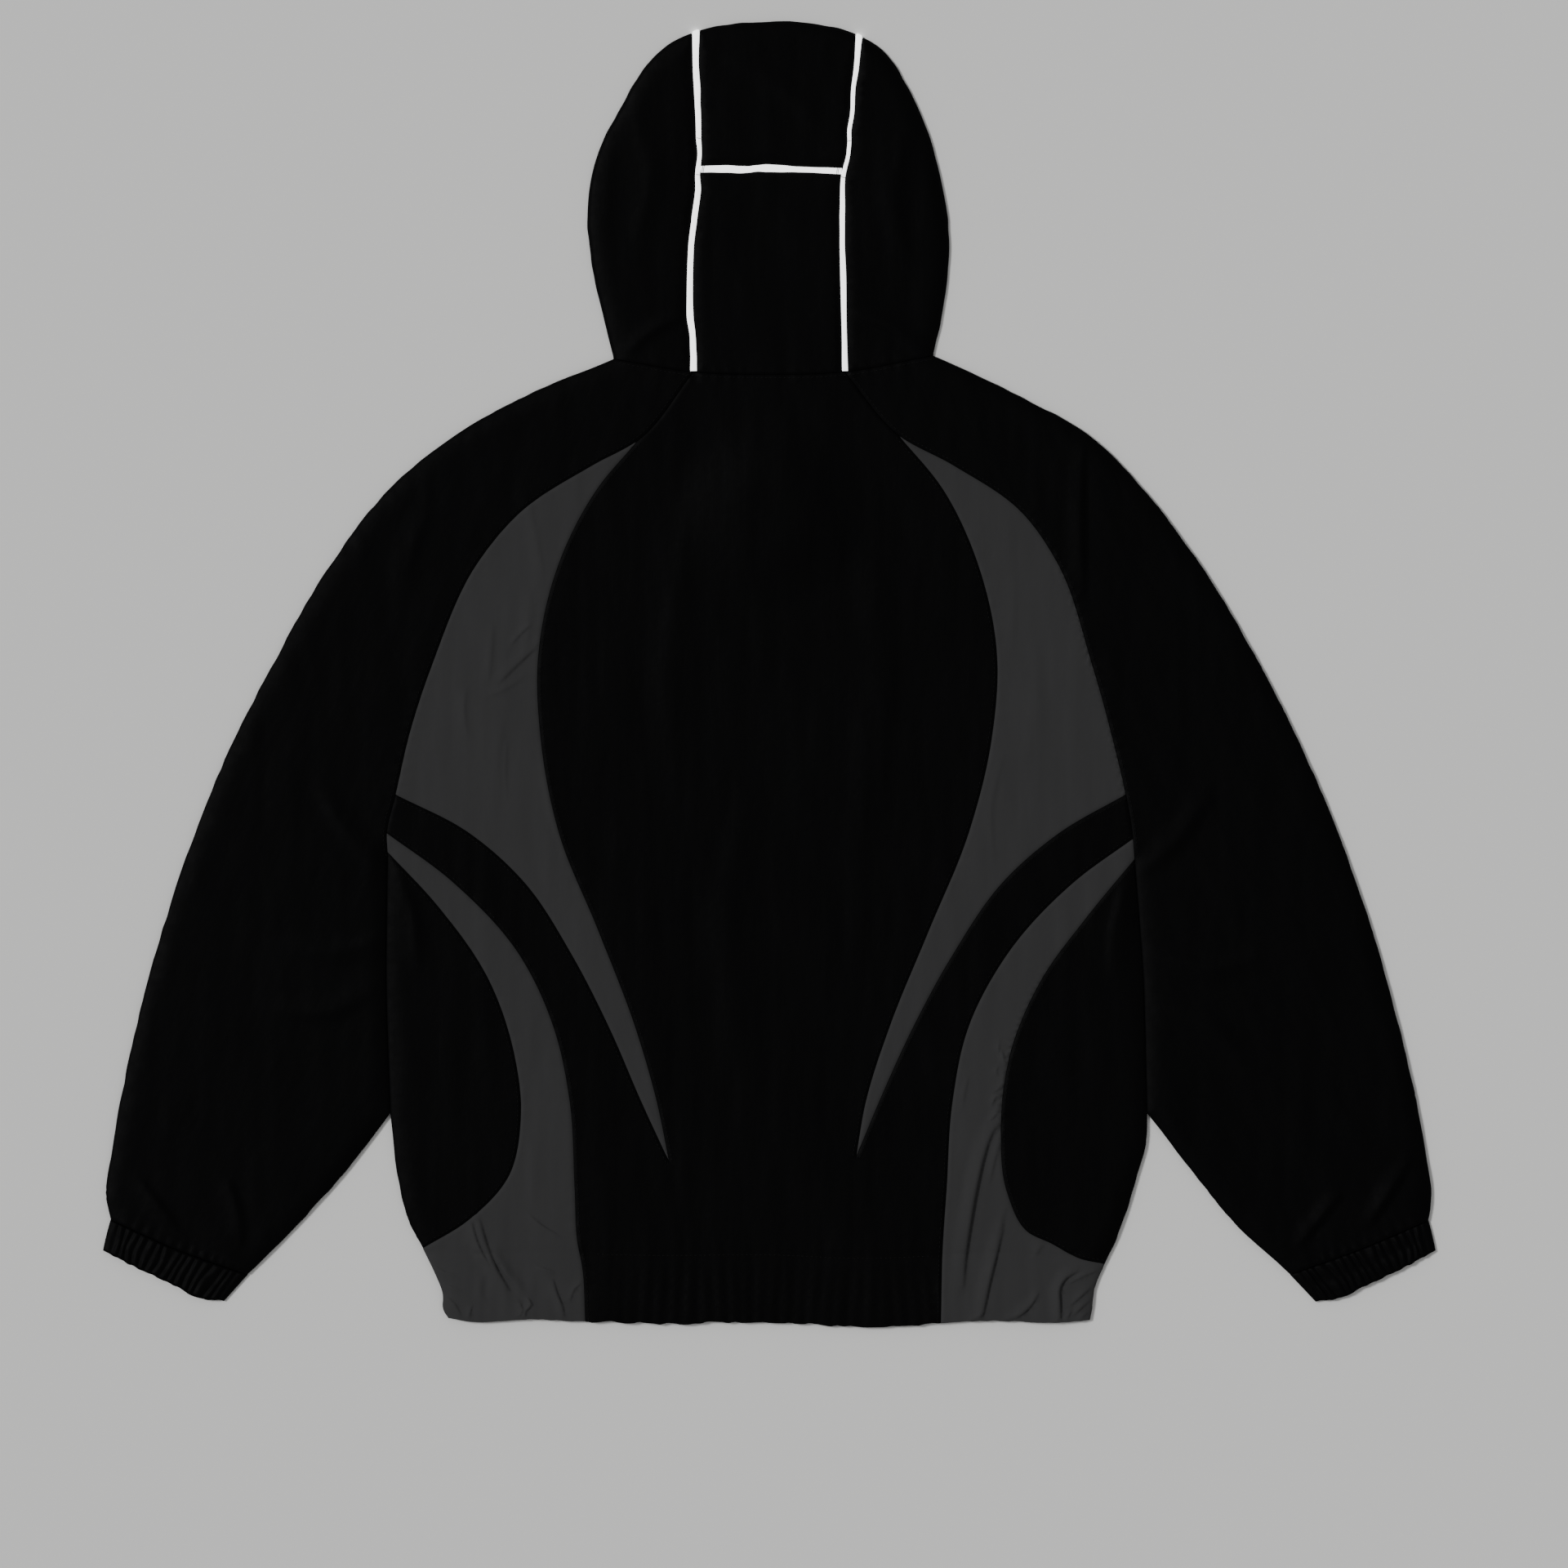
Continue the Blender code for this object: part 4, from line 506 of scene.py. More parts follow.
SPANS = {name: smooth_spans(points, EDGE_STEP) for name, points in CURVES.items()}
for uneven_edge in SILHOUETTES + names("hem", "front_hem_{}"):
    if not uneven_edge.startswith("inner_arm"):
        SPANS[uneven_edge] = rippled(uneven_edge, SPANS[uneven_edge])
COARSE = {name: join_spans(smooth_spans(points, COARSE_STEP)) for name, points in CURVES.items()}
SILHOUETTE_LINES = [COARSE[name] for name in SILHOUETTES]
UPPER_SEAM_LINES = [COARSE[name] for name in UPPER_SEAMS]
LOWER_SEAM_LINES = [COARSE[name] for name in LOWER_SEAMS]
HEM_LINE = COARSE["hem"]


def stretch(name, first, last):
    """Samples of a curve between two of its points, in either direction."""
    samples = join_spans(SPANS[name][min(first, last):max(first, last)])
    return samples if first < last else samples[::-1]


def against(line, points):
    """Distance of each point to an open polyline, its place along it, and its side (left is 1)."""
    start, way = line[:-1], np.diff(line, axis=0)
    lengths = np.maximum(np.linalg.norm(way, axis=1), 1e-9)
    place = np.concatenate([[0.0], np.cumsum(lengths)[:-1]])
    distance, along, side = (np.zeros(len(points)) for _ in range(3))
    batch = 2000
    for low in range(0, len(points), batch):
        part = points[low:low + batch]
        offset = part[:, None, :] - start[None, :, :]
        share = np.clip((offset * way).sum(2) / lengths ** 2, 0, 1)
        gap = np.linalg.norm(offset - share[:, :, None] * way, axis=2)
        best = gap.argmin(axis=1)
        rows = np.arange(len(part))
        near_way = offset[rows, best]
        distance[low:low + batch] = gap[rows, best]
        along[low:low + batch] = place[best] + share[rows, best] * lengths[best]
        turn = way[best, 0] * near_way[:, 1] - way[best, 1] * near_way[:, 0]
        side[low:low + batch] = np.where(turn >= 0, 1.0, -1.0)
    return distance, along, side


def near(points, line, reach):
    """Which points lie in a line's box grown by reach, and what `against` says of them."""
    low, high = line.min(axis=0) - reach, line.max(axis=0) + reach
    found = np.flatnonzero(((points >= low) & (points <= high)).all(axis=1))
    return found, *against(line, points[found])


def distance_to(lines, points, reach):
    """Distance to the nearest of several lines, at most reach."""
    nearest = np.full(len(points), float(reach))
    for line in lines:
        found, apart, _, _ = near(points, line, reach)
        nearest[found] = np.minimum(nearest[found], apart)
    return nearest


def signed_area(loop):
    x, y = loop.T
    return 0.5 * np.sum(x * np.roll(y, -1) - y * np.roll(x, -1))


def inside(points, loop):
    found = np.zeros(len(points), bool)
    (x0, y0), (x1, y1) = loop.T, np.roll(loop, -1, axis=0).T
    rise = np.where(y1 == y0, 1e-9, y1 - y0)
    batch = 4000
    for low in range(0, len(points), batch):
        x, y = points[low:low + batch, 0, None], points[low:low + batch, 1, None]
        crosses = ((y0 > y) != (y1 > y)) & (x < x0 + (y - y0) * (x1 - x0) / rise)
        found[low:low + batch] = crosses.sum(axis=1) % 2 == 1
    return found


def edge_insets(name, run, lap):
    """How far each side of a panel's edge stays inside a curve."""
    inset = np.full(len(run) - 1, SEAM_GAP / 2)
    if name.startswith("inner_arm"):
        return inset + lap
    width = PIPING_WIDTH.get(name.replace("under_seam", "piping"), 0.0)
    if not width:
        return inset
    open_inset = width / 2 + SEAM_GAP
    if name.startswith("under_seam"):
        return inset * 0 + open_inset
    start, end = PIPING_OPEN
    from_edge = distance_to([COARSE["hood_edge"]], (run[:-1] + run[1:]) / 2, end)
    return open_inset + (inset - open_inset) * smooth_step((from_edge - start) / (end - start))


def inset_loop(loop, insets):
    """Moves each side of an anticlockwise loop inwards by its own distance."""
    after = left_of(unit(np.roll(loop, -1, axis=0) - loop))
    before = np.roll(after, 1, axis=0)
    inset_before = np.roll(insets, 1)
    cross = before[:, 0] * after[:, 1] - before[:, 1] * after[:, 0]
    straight = np.abs(cross) < 0.02
    corner = xy(inset_before * after[:, 1] - insets * before[:, 1],
                insets * before[:, 0] - inset_before * after[:, 0])
    corner /= np.where(straight, 1.0, cross)[:, None]
    even = after * np.maximum(insets, inset_before)[:, None]
    move = np.where(straight[:, None], even, corner)
    longest = 8 * np.maximum(np.abs(insets), np.abs(inset_before))
    move *= np.minimum(1.0, longest / np.maximum(np.linalg.norm(move, axis=1), 1e-9))[:, None]
    return loop + move


def outline(edges, lap=0.0):
    """The inset outline of a piece in the order of its runs of curves, and the points of its
    first run with both its corners. Samples that a moved corner would pass are left out."""
    runs = [stretch(*edge) for edge in edges]
    distances = np.concatenate([edge_insets(edge[0], run, lap) for run, edge in zip(runs, edges)])
    loop = np.concatenate([run[:-1] for run in runs])
    if signed_area(loop) > 0:
        moved = inset_loop(loop, distances)
    else:
        moved = inset_loop(loop[::-1], np.roll(distances[::-1], -1))[::-1]
    keep = np.ones(len(loop), bool)
    first = 0
    for run in runs:
        last = first + len(run) - 1
        for corner, at, way in ((run[0], moved[first], run[1] - run[0]),
                                (run[-1], moved[last % len(loop)], run[-2] - run[-1])):
            close = np.linalg.norm(loop[first + 1:last] - corner, axis=1) < CORNER_REACH
            ahead = (moved[first + 1:last] - at) @ way / np.linalg.norm(way)
            keep[first + 1:last] &= ~(close & (ahead < CORNER_CLEAR))
        first = last
    return moved[keep], keep[:len(runs[0]) - 1].sum() + 1


# ---------------------------------------------------------------- heights

def lift(points):
    """The rise of both layers over the slider and its pull."""
    reach = np.linalg.norm(points - np.array([0.0, LIFT_Y]), axis=1)
    share = np.clip((reach - LIFT_FLAT) / (LIFT_REACH - LIFT_FLAT), 0, 1)
    return LIFT * (0.5 + 0.5 * np.cos(math.pi * share))


def crease_rise(points, path, height, gentle, steep, gentle_side):
    """A ridge with a gentle and a steep side, which dies away at both ends."""
    line = join_spans(smooth_spans(path, 4.0))
    found, apart, along, side = near(points, line, gentle + steep)
    taper = np.sin(math.pi * (0.04 + 0.92 * along / lengths_along(line)[-1])) ** 0.6
    on_gentle = side == gentle_side
    shape = smooth_step(1 - apart / np.where(on_gentle, gentle, steep))
    trough = np.where(on_gentle, 0.0, 0.16 * np.exp(-((apart - 1.5 * steep) / steep) ** 2))
    rise = np.zeros(len(points))
    rise[found] = height * taper * (shape - trough)
    return rise


def pucker_rise(points, seam, run, pitch, height, reach, slant, only_side):
    """Little waves square to a seam, or at a slant to it."""
    found, apart, along, side = near(points, COARSE[seam], reach)
    wander = patches(xy(along, apart * 0.3), (2.3 * pitch, 9.0), 7)
    wave = np.sin(2 * math.pi * (along + slant * apart * side) / pitch + 2.6 * wander)
    strength = 0.55 + 0.45 * patches(xy(along, along), (3.1 * pitch, 50.0), 11)
    fade = np.clip(1 - apart / reach, 0, 1) ** 1.5
    ends = smooth_step((along - run[0]) / PUCKER_FADE) * smooth_step((run[1] - along) / PUCKER_FADE)
    keep = 1.0 if only_side == 0 else (side == only_side)
    rise = np.zeros(len(points))
    rise[found] = height * wave * strength * fade * ends * keep
    return rise


def casing_waves(points):
    """Gathers below the stitched casing of the hem."""
    above = distance_to([HEM_LINE], points, CASING_HEIGHT + CASING_ABOVE)
    share = (points[:, 0] - HEM_LINE[0, 0]) / (HEM_LINE[-1, 0] - HEM_LINE[0, 0])
    wave = np.sin(share * CASING_WAVES * 2 * math.pi + 2.2 * patches(points, (34, 60), 5))
    body = np.sin(math.pi * (0.18 + 0.82 * np.clip(above / CASING_HEIGHT, 0, 1)))
    strength = 0.6 + 0.4 * patches(points, (60, 200), 9)
    rise = CASING_WAVE_HEIGHT * strength * wave * np.clip(body, 0, 1) * (above < CASING_HEIGHT)
    past = above - CASING_HEIGHT
    rise += 0.25 * wave * np.exp(-((past - 5) / 5) ** 2) * (past < CASING_ABOVE)
    pinch = -0.5 * np.exp(-(past / 1.6) ** 2)
    return rise * np.where(gathered(points), 1.0, PLAIN_CASING) + pinch


def streaks(points):
    """Faint upright unevenness of the cloth, and wide soft hollows."""
    x, y = points.T
    lean = xy(x + 0.5 * y, y - 0.3 * x)
    fine = patches(points, (7, 46), 21) + 0.6 * patches(points, (13, 80), 22)
    return (0.2 * fine + 0.3 * patches(lean, (38, 90), 23) + 0.14 * patches(lean, (17, 30), 24)
            + 0.05 * patches(points, (3.6, 22), 25))


def bent_piping(name):
    """The line that a length of piping really takes, and half its width at each point."""
    line = resample(join_spans(SPANS[name]), 2.0)
    at, *bends = np.array(PIPING_BENDS[name], float).T
    place = lengths_along(line)
    row = np.clip(np.searchsorted(at, place) - 1, 0, len(at) - 2)
    share = smooth_step((place - at[row]) / (at[row + 1] - at[row]))
    shift, width = (bend[row] + (bend[row + 1] - bend[row]) * share for bend in bends)
    return line + sideways(line) * shift[:, None], width / 2


PIPING_LINES = {name: bent_piping(name) for name in PIPING_BENDS}


def piping_drop(points):
    """How far a panel dives under the piping."""
    nearest = np.full(len(points), 10.0)
    for line, halves in PIPING_LINES.values():
        found, apart, along, _ = near(points, line, 12.0)
        half = np.interp(along, lengths_along(line), halves)
        nearest[found] = np.minimum(nearest[found], apart - half - SEAM_GAP)
    return PIPING_DROP * (1 - smooth_step(nearest / SEAM_TURN))


def upper_base(points):
    """Height of the middle of the upper wall without its seams."""
    share = np.clip(distance_to(SILHOUETTE_LINES, points, ROLL) / ROLL, 0, 1)
    hem_share = distance_to([HEM_LINE], points, ROLL) / ROLL
    share = np.minimum(share, HEM_OPEN + (1 - HEM_OPEN) * hem_share)
    rolled = np.sqrt(1 - (1 - share) ** 2)
    rise = LOFT + streaks(points)
    for row in CREASES:
        rise = rise + crease_rise(points, *row)
    for row in PUCKERS:
        rise = rise + pucker_rise(points, *row)
    return UPPER_EDGE + rise * rolled + lift(points) + casing_waves(points) * rolled


def upper_mid(points):
    """Height of the middle of the upper wall, with its seams turned down."""
    seam = distance_to(UPPER_SEAM_LINES, points, SEAM_REACH)
    turned = SEAM_DROP * (1 - smooth_step(seam / SEAM_TURN))
    share = distance_to(SILHOUETTE_LINES, points, SEAM_REACH) / SEAM_REACH
    return upper_base(points) - np.maximum(turned, piping_drop(points)) * np.clip(share, 0, 1)


def lower_mid(points):
    """Height of the middle of the lower wall, whose outer side faces the floor."""
    seam = distance_to(LOWER_SEAM_LINES, points, SEAM_REACH)
    groove = UNDER_GROOVE * (1 - smooth_step((seam - UNDER_GROOVE_HALF) / UNDER_GROOVE_SIDE))
    edge = distance_to(SILHOUETTE_LINES + [HEM_LINE], points, ROLL) / ROLL
    rise = 0.12 * patches(points, (30, 70), 71) + 0.06 * patches(points, (9, 26), 72)
    rise = np.maximum(rise, 0.0)
    for row in UNDER_CREASES:
        rise = rise + crease_rise(points, *row)
    return LOWER_MID + lift(points) + groove + np.maximum(rise, 0.0) * smooth_step(edge)


def crease_points(creases):
    """Rows of places along every crease, close together across its steep side."""
    rows = []
    for path, _, gentle, steep, side in creases:
        line = resample(join_spans(smooth_spans(path, 1.0)), CREASE_STEP * (1 if steep < 4 else 2.5))
        left = sideways(line)
        rows += [line + left * side * offset * gentle for offset in (0.0, 0.12, 0.3, 0.55)]
        rows += [line - left * side * offset * steep for offset in (0.3, 0.6, 1.0, 1.6)]
    return np.concatenate(rows)


# ---------------------------------------------------------------- meshes

def tree_of(points):
    tree = KDTree(len(points))
    for k, (x, y) in enumerate(points):
        tree.insert((x, y, 0.0), k)
    tree.balance()
    return tree


def apart_from(points, others, distance):
    """Keeps the points that are at least a distance from every other point."""
    if not len(points) or not len(others):
        return points
    tree = tree_of(others)
    return points[[tree.find((x, y, 0.0))[2] > distance for x, y in points]]


def thin_out(points, distance):
    """Drops points that crowd an earlier one."""
    if not len(points):
        return points
    keys = np.unique(np.floor(points / distance).astype(int), axis=0, return_index=True)[1]
    return points[np.sort(keys)]


def staggered_points(loop, spacing):
    """Points in a triangular pattern over the box of a loop."""
    (left, bottom), (right, top) = loop.min(axis=0) / spacing, loop.max(axis=0) / spacing
    return np.concatenate([
        xy(np.arange(math.floor(left), right) + 0.5 * (number % 2), row) * spacing
        for number, row in enumerate(np.arange(math.floor(bottom), top, 0.866))])


def fill_loop(loop, features, grid_spacing):
    """Triangles over a loop: rows along its edge, feature points, and a staggered grid."""
    if signed_area(loop) < 0:
        loop = loop[::-1]
    closed = np.vstack([loop, loop[:1]])
    rings = []
    for inset in RING_INSETS:
        ring = inset_loop(loop, np.full(len(loop), inset))
        ring = ring[inside(ring, loop)]
        ring = ring[against(closed, ring)[0] > 0.94 * inset]
        rings.append(thin_out(ring, 0.35 * EDGE_STEP))
    rings = np.concatenate(rings)
    in_box = ((features > loop.min(axis=0)) & (features < loop.max(axis=0))).all(axis=1)
    features = features[in_box]
    features = features[inside(features, loop)]
    features = features[against(closed, features)[0] > RING_INSETS[-1]]
    features = thin_out(features, 0.9)
    grid = staggered_points(loop, grid_spacing)
    grid = grid[inside(grid, loop)]
    grid = apart_from(grid, np.concatenate([loop, rings]), 0.6 * grid_spacing)
    grid = apart_from(grid, features, 0.5 * grid_spacing)
    points = np.concatenate([loop, rings, features, grid])
    count = len(loop)
    sides = [(k, (k + 1) % count) for k in range(count)]
    filled = delaunay_2d_cdt(
        [Vector(point) for point in points], sides, [list(range(count))], 1, 1e-4)
    return np.array([tuple(vertex) for vertex in filled[0]]), filled[2]


def grid_faces(rows, size, closed, start=0):
    """Quads between rows of points that follow each other, each open or closed to a ring."""
    faces = []
    for corner in range(start, start + (rows - 1) * size, size):
        for k in range(size if closed else size - 1):
            a, b = corner + k, corner + (k + 1) % size
            faces.append([a, b, b + size, a + size])
    return faces


def add_object(name, data):
    made = bpy.data.objects.new(name, data)
    bpy.context.scene.collection.objects.link(made)
    return made


def make_object(name, vertices, faces, material):
    mesh = bpy.data.meshes.new(name)
    mesh.from_pydata([tuple(vertex) for vertex in np.array(vertices) * MM], [], faces)
    mesh.materials.append(material)
    mesh.shade_smooth()
    return add_object(name, mesh)


def face_out(made, is_sheet):
    """Turns every face outwards. A sheet's doubled points are joined, and its highest face
    tells which side is up."""
    work = bmesh.new()
    work.from_mesh(made.data)
    if is_sheet:
        bmesh.ops.remove_doubles(work, verts=work.verts, dist=0.00001)
    bmesh.ops.recalc_face_normals(work, faces=work.faces)
    highest = max(work.faces, key=lambda face: face.calc_center_median().z)
    if is_sheet and highest.normal.z < 0:
        bmesh.ops.reverse_faces(work, faces=work.faces)
    work.to_mesh(made.data)
    work.free()


def make_shell(name, vertices, faces, material, thickness=WALL):
    """Cloth from the middle of its wall."""
    made = make_object(name, vertices, faces, material)
    face_out(made, is_sheet=True)
    wall = made.modifiers.new("wall", "SOLIDIFY")
    wall.thickness = thickness * MM
    wall.offset = 0.0
    wall.use_even_offset = False
    return made


def cut_of(loops):
    """Width, length and area in metres of flat pieces laid side by side, each turned square."""
    width = length = area = 0.0
    for loop in loops:
        boxes = []
        for degrees in range(0, 90, 3):
            turn = math.radians(degrees)
            across = loop @ np.array([math.cos(turn), math.sin(turn)])
            up = loop @ np.array([-math.sin(turn), math.cos(turn)])
            boxes.append(sorted((np.ptp(across), np.ptp(up))))
        best = min(boxes, key=lambda box: box[0] * box[1])
        width += best[0]
        length = max(length, best[1])
        area += abs(signed_area(loop))
    return (width * MM, length * MM), area * MM * MM


# The separate pieces sewn onto each node's cloth, by node.
EXTRAS = {}


def dress(made, node, loops):
    """Ties a cloth shell to the frame, hides the frame's piece and works out its flat cut."""
    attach(made, "jacket")
    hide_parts(node)
    flat, area = cut_of(loops)
    flat = CURVED_CUTS.get(node, flat)


def flat_panel(name, edges, height, features, grid_spacing, material):
    """A piece that lies in one layer."""
    lap = {"front": ARM_LAP, "sleeve_front": -ARM_LAP}.get(name.rsplit("_", 1)[0], 0.0)
    loop, _ = outline(edges, lap)
    flat, faces = fill_loop(loop, features, grid_spacing)
    made = make_shell(f"{name}_shell", np.column_stack([flat, height(flat)]), faces, material)
    return made, loop


def rolled_heights(flat, edge, heights, fold_level):
    """Heights of an upper layer that rises round and steep from its fold."""
    from_edge = against(edge, flat)[0] - FOLD_RADIUS - FOLD_INSET
    share = np.clip(from_edge / ROLL, 0, 1)
    rolled = fold_level + (LOFT + UPPER_EDGE - fold_level) * np.sqrt(1 - (1 - share) ** 2)
    rolled -= piping_drop(flat) * np.clip(from_edge / SEAM_REACH, 0, 1)
    blend = smooth_step(share)
    return rolled * (1 - blend) + np.maximum(heights, fold_level) * blend


def folded_panel(name, fold, upper_edges, lower_edges, material):
    """A piece that folds round a silhouette from the upper layer to the lower one."""
    layers = [outline([fold] + edges) for edges in (upper_edges, lower_edges)]
    edge = layers[0][0][:layers[0][1]].copy()
    for end, following in ((0, 1), (-1, -2)):
        edge[end] += unit(edge[following] - edge[end]) * FOLD_TRIM
    vertices, faces, sides = [], [], []
    for (loop, rest), is_upper in zip(layers, (True, False)):
        level = LOWER_MID + (2 * FOLD_RADIUS if is_upper else 0.0)
        side = sideways(edge) * np.sign(signed_area(loop))
        side[0] = unit(loop[-1] - edge[0])
        side[-1] = unit(loop[rest] - edge[-1])
        sides.append(side)
        ring = edge + side * (FOLD_RADIUS + FOLD_INSET)
        features = crease_points(CREASES if is_upper else UNDER_CREASES)
        flat, triangles = fill_loop(np.vstack([ring, loop[rest:]]), features,
                                    UPPER_GRID if is_upper else LOWER_GRID)
        if is_upper:
            heights = rolled_heights(flat, edge, upper_mid(flat), level)
        else:
            heights = lower_mid(flat)
        tree = tree_of(flat)
        for x, y in ring:
            heights[tree.find((x, y, 0.0))[1]] = level
        faces += [[len(vertices) + index for index in triangle] for triangle in triangles]
        vertices += [(x, y, z) for (x, y), z in zip(flat, heights)]
    faces += grid_faces(FOLD_STEPS + 1, len(edge), False, start=len(vertices))
    for step in range(FOLD_STEPS + 1):
        angle = math.pi * (0.5 - step / FOLD_STEPS)
        inset = FOLD_INSET + FOLD_RADIUS * (1 - math.cos(angle))
        level = LOWER_MID + FOLD_RADIUS * (1 + math.sin(angle))
        row = edge + sides[0 if angle > 0 else 1] * inset
        vertices += [(x, y, level) for x, y in row]
    made = make_shell(f"{name}_shell", vertices, faces, material)
    return made, [loop for loop, _ in layers]


def skins(name, parts, material):
    """One mesh of closed skins, each through rings of points and with flat ends."""
    vertices, faces = [], []
    for rings in parts:
        size, start = len(rings[0]), len(vertices)
        vertices += [tuple(point) for ring in rings for point in ring]
        faces += grid_faces(len(rings), size, True, start)
        faces.append([start + k for k in range(size)][::-1])
        faces.append([len(vertices) - size + k for k in range(size)])
    made = make_object(name, vertices, faces, material)
    face_out(made, is_sheet=False)
    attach(made, "jacket")
    return made


def bead(name, line, heights, sides):
    """Piping: an oval section swept along a line, as wide as the side vectors reach."""
    centres = np.column_stack([line, heights])
    sides = np.column_stack([sides, np.zeros(len(sides))])
    ups = np.cross(unit(np.gradient(centres, axis=0)), unit(sides))
    angles = np.linspace(0, 2 * math.pi, 16, endpoint=False)
    across = (np.sign(np.cos(angles)) * np.abs(np.cos(angles)) ** 0.75)[:, None]
    rise = (np.sign(np.sin(angles)) * np.abs(np.sin(angles)) ** 0.85)[:, None]
    rings = [centre + side * across + up * rise * PIPING_THICK / 2
             for centre, side, up in zip(centres, sides, ups)]
    made = skins(f"{name}_bead", [rings], REFLECTIVE_PAINTED_GLOW)
    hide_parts(name)
    return made


def long_piping(side_name, edge_point):
    """Piping that climbs the back of the hood, folds over its top and runs to the face opening."""
    name = f"piping_{side_name}"
    half = PIPING_WIDTH[name] / 2
    lower_level = PIPING_THICK / 2
    upper_level = lower_level + 2 * FOLD_RADIUS + PIPING_PROUD
    seam, halves = PIPING_LINES[name]
    top = seam[-1]
    below_fold = np.linalg.norm(seam - top, axis=1) > PIPING_BEND
    climb, halves = seam[below_fold], halves[below_fold]
    under_seam = stretch(f"under_seam_{side_name}", 0, 1)
    descent = resample(under_seam, 4.0)
    descent = descent[np.linalg.norm(descent - top, axis=1) > PIPING_BEND]
    edge_way = unit(SPANS["hood_edge"][edge_point - 1][-2] - SPANS["hood_edge"][edge_point][1])
    seam_way, descent_way = unit(top - climb[-1]), unit(under_seam[-1] - top)
    above, below = (edge_way * half / abs(edge_way[0] * way[1] - edge_way[1] * way[0])
                    for way in (seam_way, descent_way))
    near_top = np.clip(np.linalg.norm(climb - top, axis=1) / ROLL, 0, 1)
    heights = upper_base(climb) + PIPING_PROUD
    rolled = upper_level + (heights - upper_level) * np.sqrt(1 - (1 - near_top) ** 2)
    heights = list(np.minimum(heights, rolled))
    sides = list(sideways(np.vstack([climb, top]))[:-1] * halves[:, None])
    climb[0] = climb[0] + seam_way * NECK_CLEAR
    line = list(climb)
    for step in range(FOLD_STEPS + 1):
        angle = math.pi * (0.5 - step / FOLD_STEPS)
        reach = ((FOLD_RADIUS + FOLD_INSET) * (1 - math.cos(angle))
                 - PIPING_PROUD * math.cos(angle))
        line.append(top + (-seam_way if angle > 0 else descent_way) * reach)
        heights.append(lower_level + (upper_level - lower_level) * (0.5 + 0.5 * math.sin(angle)))
        sides.append(above if angle > 0 else below)
    line += list(descent)
    heights += [lower_level] * len(descent)
    sides += [left_of(descent_way) * half] * len(descent)
    return bead(name, np.array(line), heights,
                np.array([side * np.sign(side @ above) for side in sides]))


def cross_piping():
    seam, halves = PIPING_LINES["piping_cross"]
    line = seam[(seam[:, 0] > seam[0, 0] + CROSS_CLEAR) & (seam[:, 0] < seam[-1, 0] - CROSS_CLEAR)]
    sides = sideways(line) * np.interp(line[:, 0], seam[:, 0], halves)[:, None]
    return bead("piping_cross", line, upper_base(line) + PIPING_PROUD, sides)


def cuff(side_name):
    """An elastic band, flattened to two gathered layers that meet at two folds."""
    share = np.linspace(0, 1, CUFF_STEPS + 1)
    top_row, end_row = (
        xy(*(np.interp(share, lengths_along(line) / lengths_along(line)[-1], axis)
             for axis in line.T))
        for line in (stretch(f"cuff_seam_{side_name}", 0, 2), stretch(f"cuff_end_{side_name}", 0, 4)))
    across = unit(top_row[-1] - top_row[0])
    down = unit(end_row - top_row)
    squeeze = (1 - 2 * share[:, None]) * across * WALL * 0.75
    top_row = top_row + down * SEAM_GAP / 2 + squeeze
    length = share * np.linalg.norm(top_row[-1] - top_row[0])
    frill = CUFF_FRILL * patches(xy(length, 0.0), (4.5, 9), 51) - 0.4
    end_row = end_row + squeeze + down * frill[:, None]
    outer = stretch(f"cuff_outer_{side_name}", 0, 2)
    bow = outer[len(outer) // 2] - (outer[0] + outer[-1]) / 2
    rolled = np.sin(math.pi * np.clip(share, 0.001, 0.999)) ** 0.4
    ends = np.clip(np.minimum(share, 1 - share) * 14, 0, 1)
    vertices = []
    for v in np.linspace(0, 1, CUFF_ROWS + 1):
        row = top_row * (1 - v) + end_row * v + 4 * v * (1 - v) * (1 - share[:, None]) ** 8 * bow
        at = xy(length, CUFF_DEPTH * v)
        wander = patches(at, (9, 14), 53)
        crest = 0.5 + 0.5 * np.sin(2 * math.pi * length / CUFF_RIB + 2.4 * wander)
        pinched = 0.35 + 0.65 * abs(math.sin(math.pi * (0.08 + 1.9 * v)))
        rise = CUFF_RISE * rolled + (1.25 * crest * pinched + 0.2 * patches(at, (5, 5), 57)) * ends
        upper = np.column_stack([row, LOWER_MID + 2 * FOLD_RADIUS + rise])
        lower = np.column_stack([row[::-1], LOWER_MID + 0.5 * crest[::-1] * pinched * ends])
        folds = []
        for corner, way in ((row[-1], across), (row[0], -across)):
            folds.append([])
            for step in range(1, FOLD_STEPS):
                angle = math.pi * (0.5 - step / FOLD_STEPS)
                place = corner + way * FOLD_RADIUS * math.cos(angle)
                folds[-1].append((*place, LOWER_MID + FOLD_RADIUS * (1 + math.sin(angle))))
        vertices += [*map(tuple, upper), *folds[0], *map(tuple, lower), *folds[1][::-1]]
    faces = grid_faces(CUFF_ROWS + 1, len(vertices) // (CUFF_ROWS + 1), True)
    made = make_shell(f"cuff_{side_name}_shell", vertices, faces, BLACK, CUFF_WALL)
    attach(made, "jacket")
    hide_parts(f"cuff_{side_name}")


# A stitch's rings: place along it, girth and rise, as shares of its length and thread.
STITCH_RINGS = ((-0.5, 0.35, -0.55), (-0.36, 0.9, 0.35), (0.0, 1.0, 0.6), (0.36, 0.9, 0.35),
                (0.5, 0.35, -0.55))


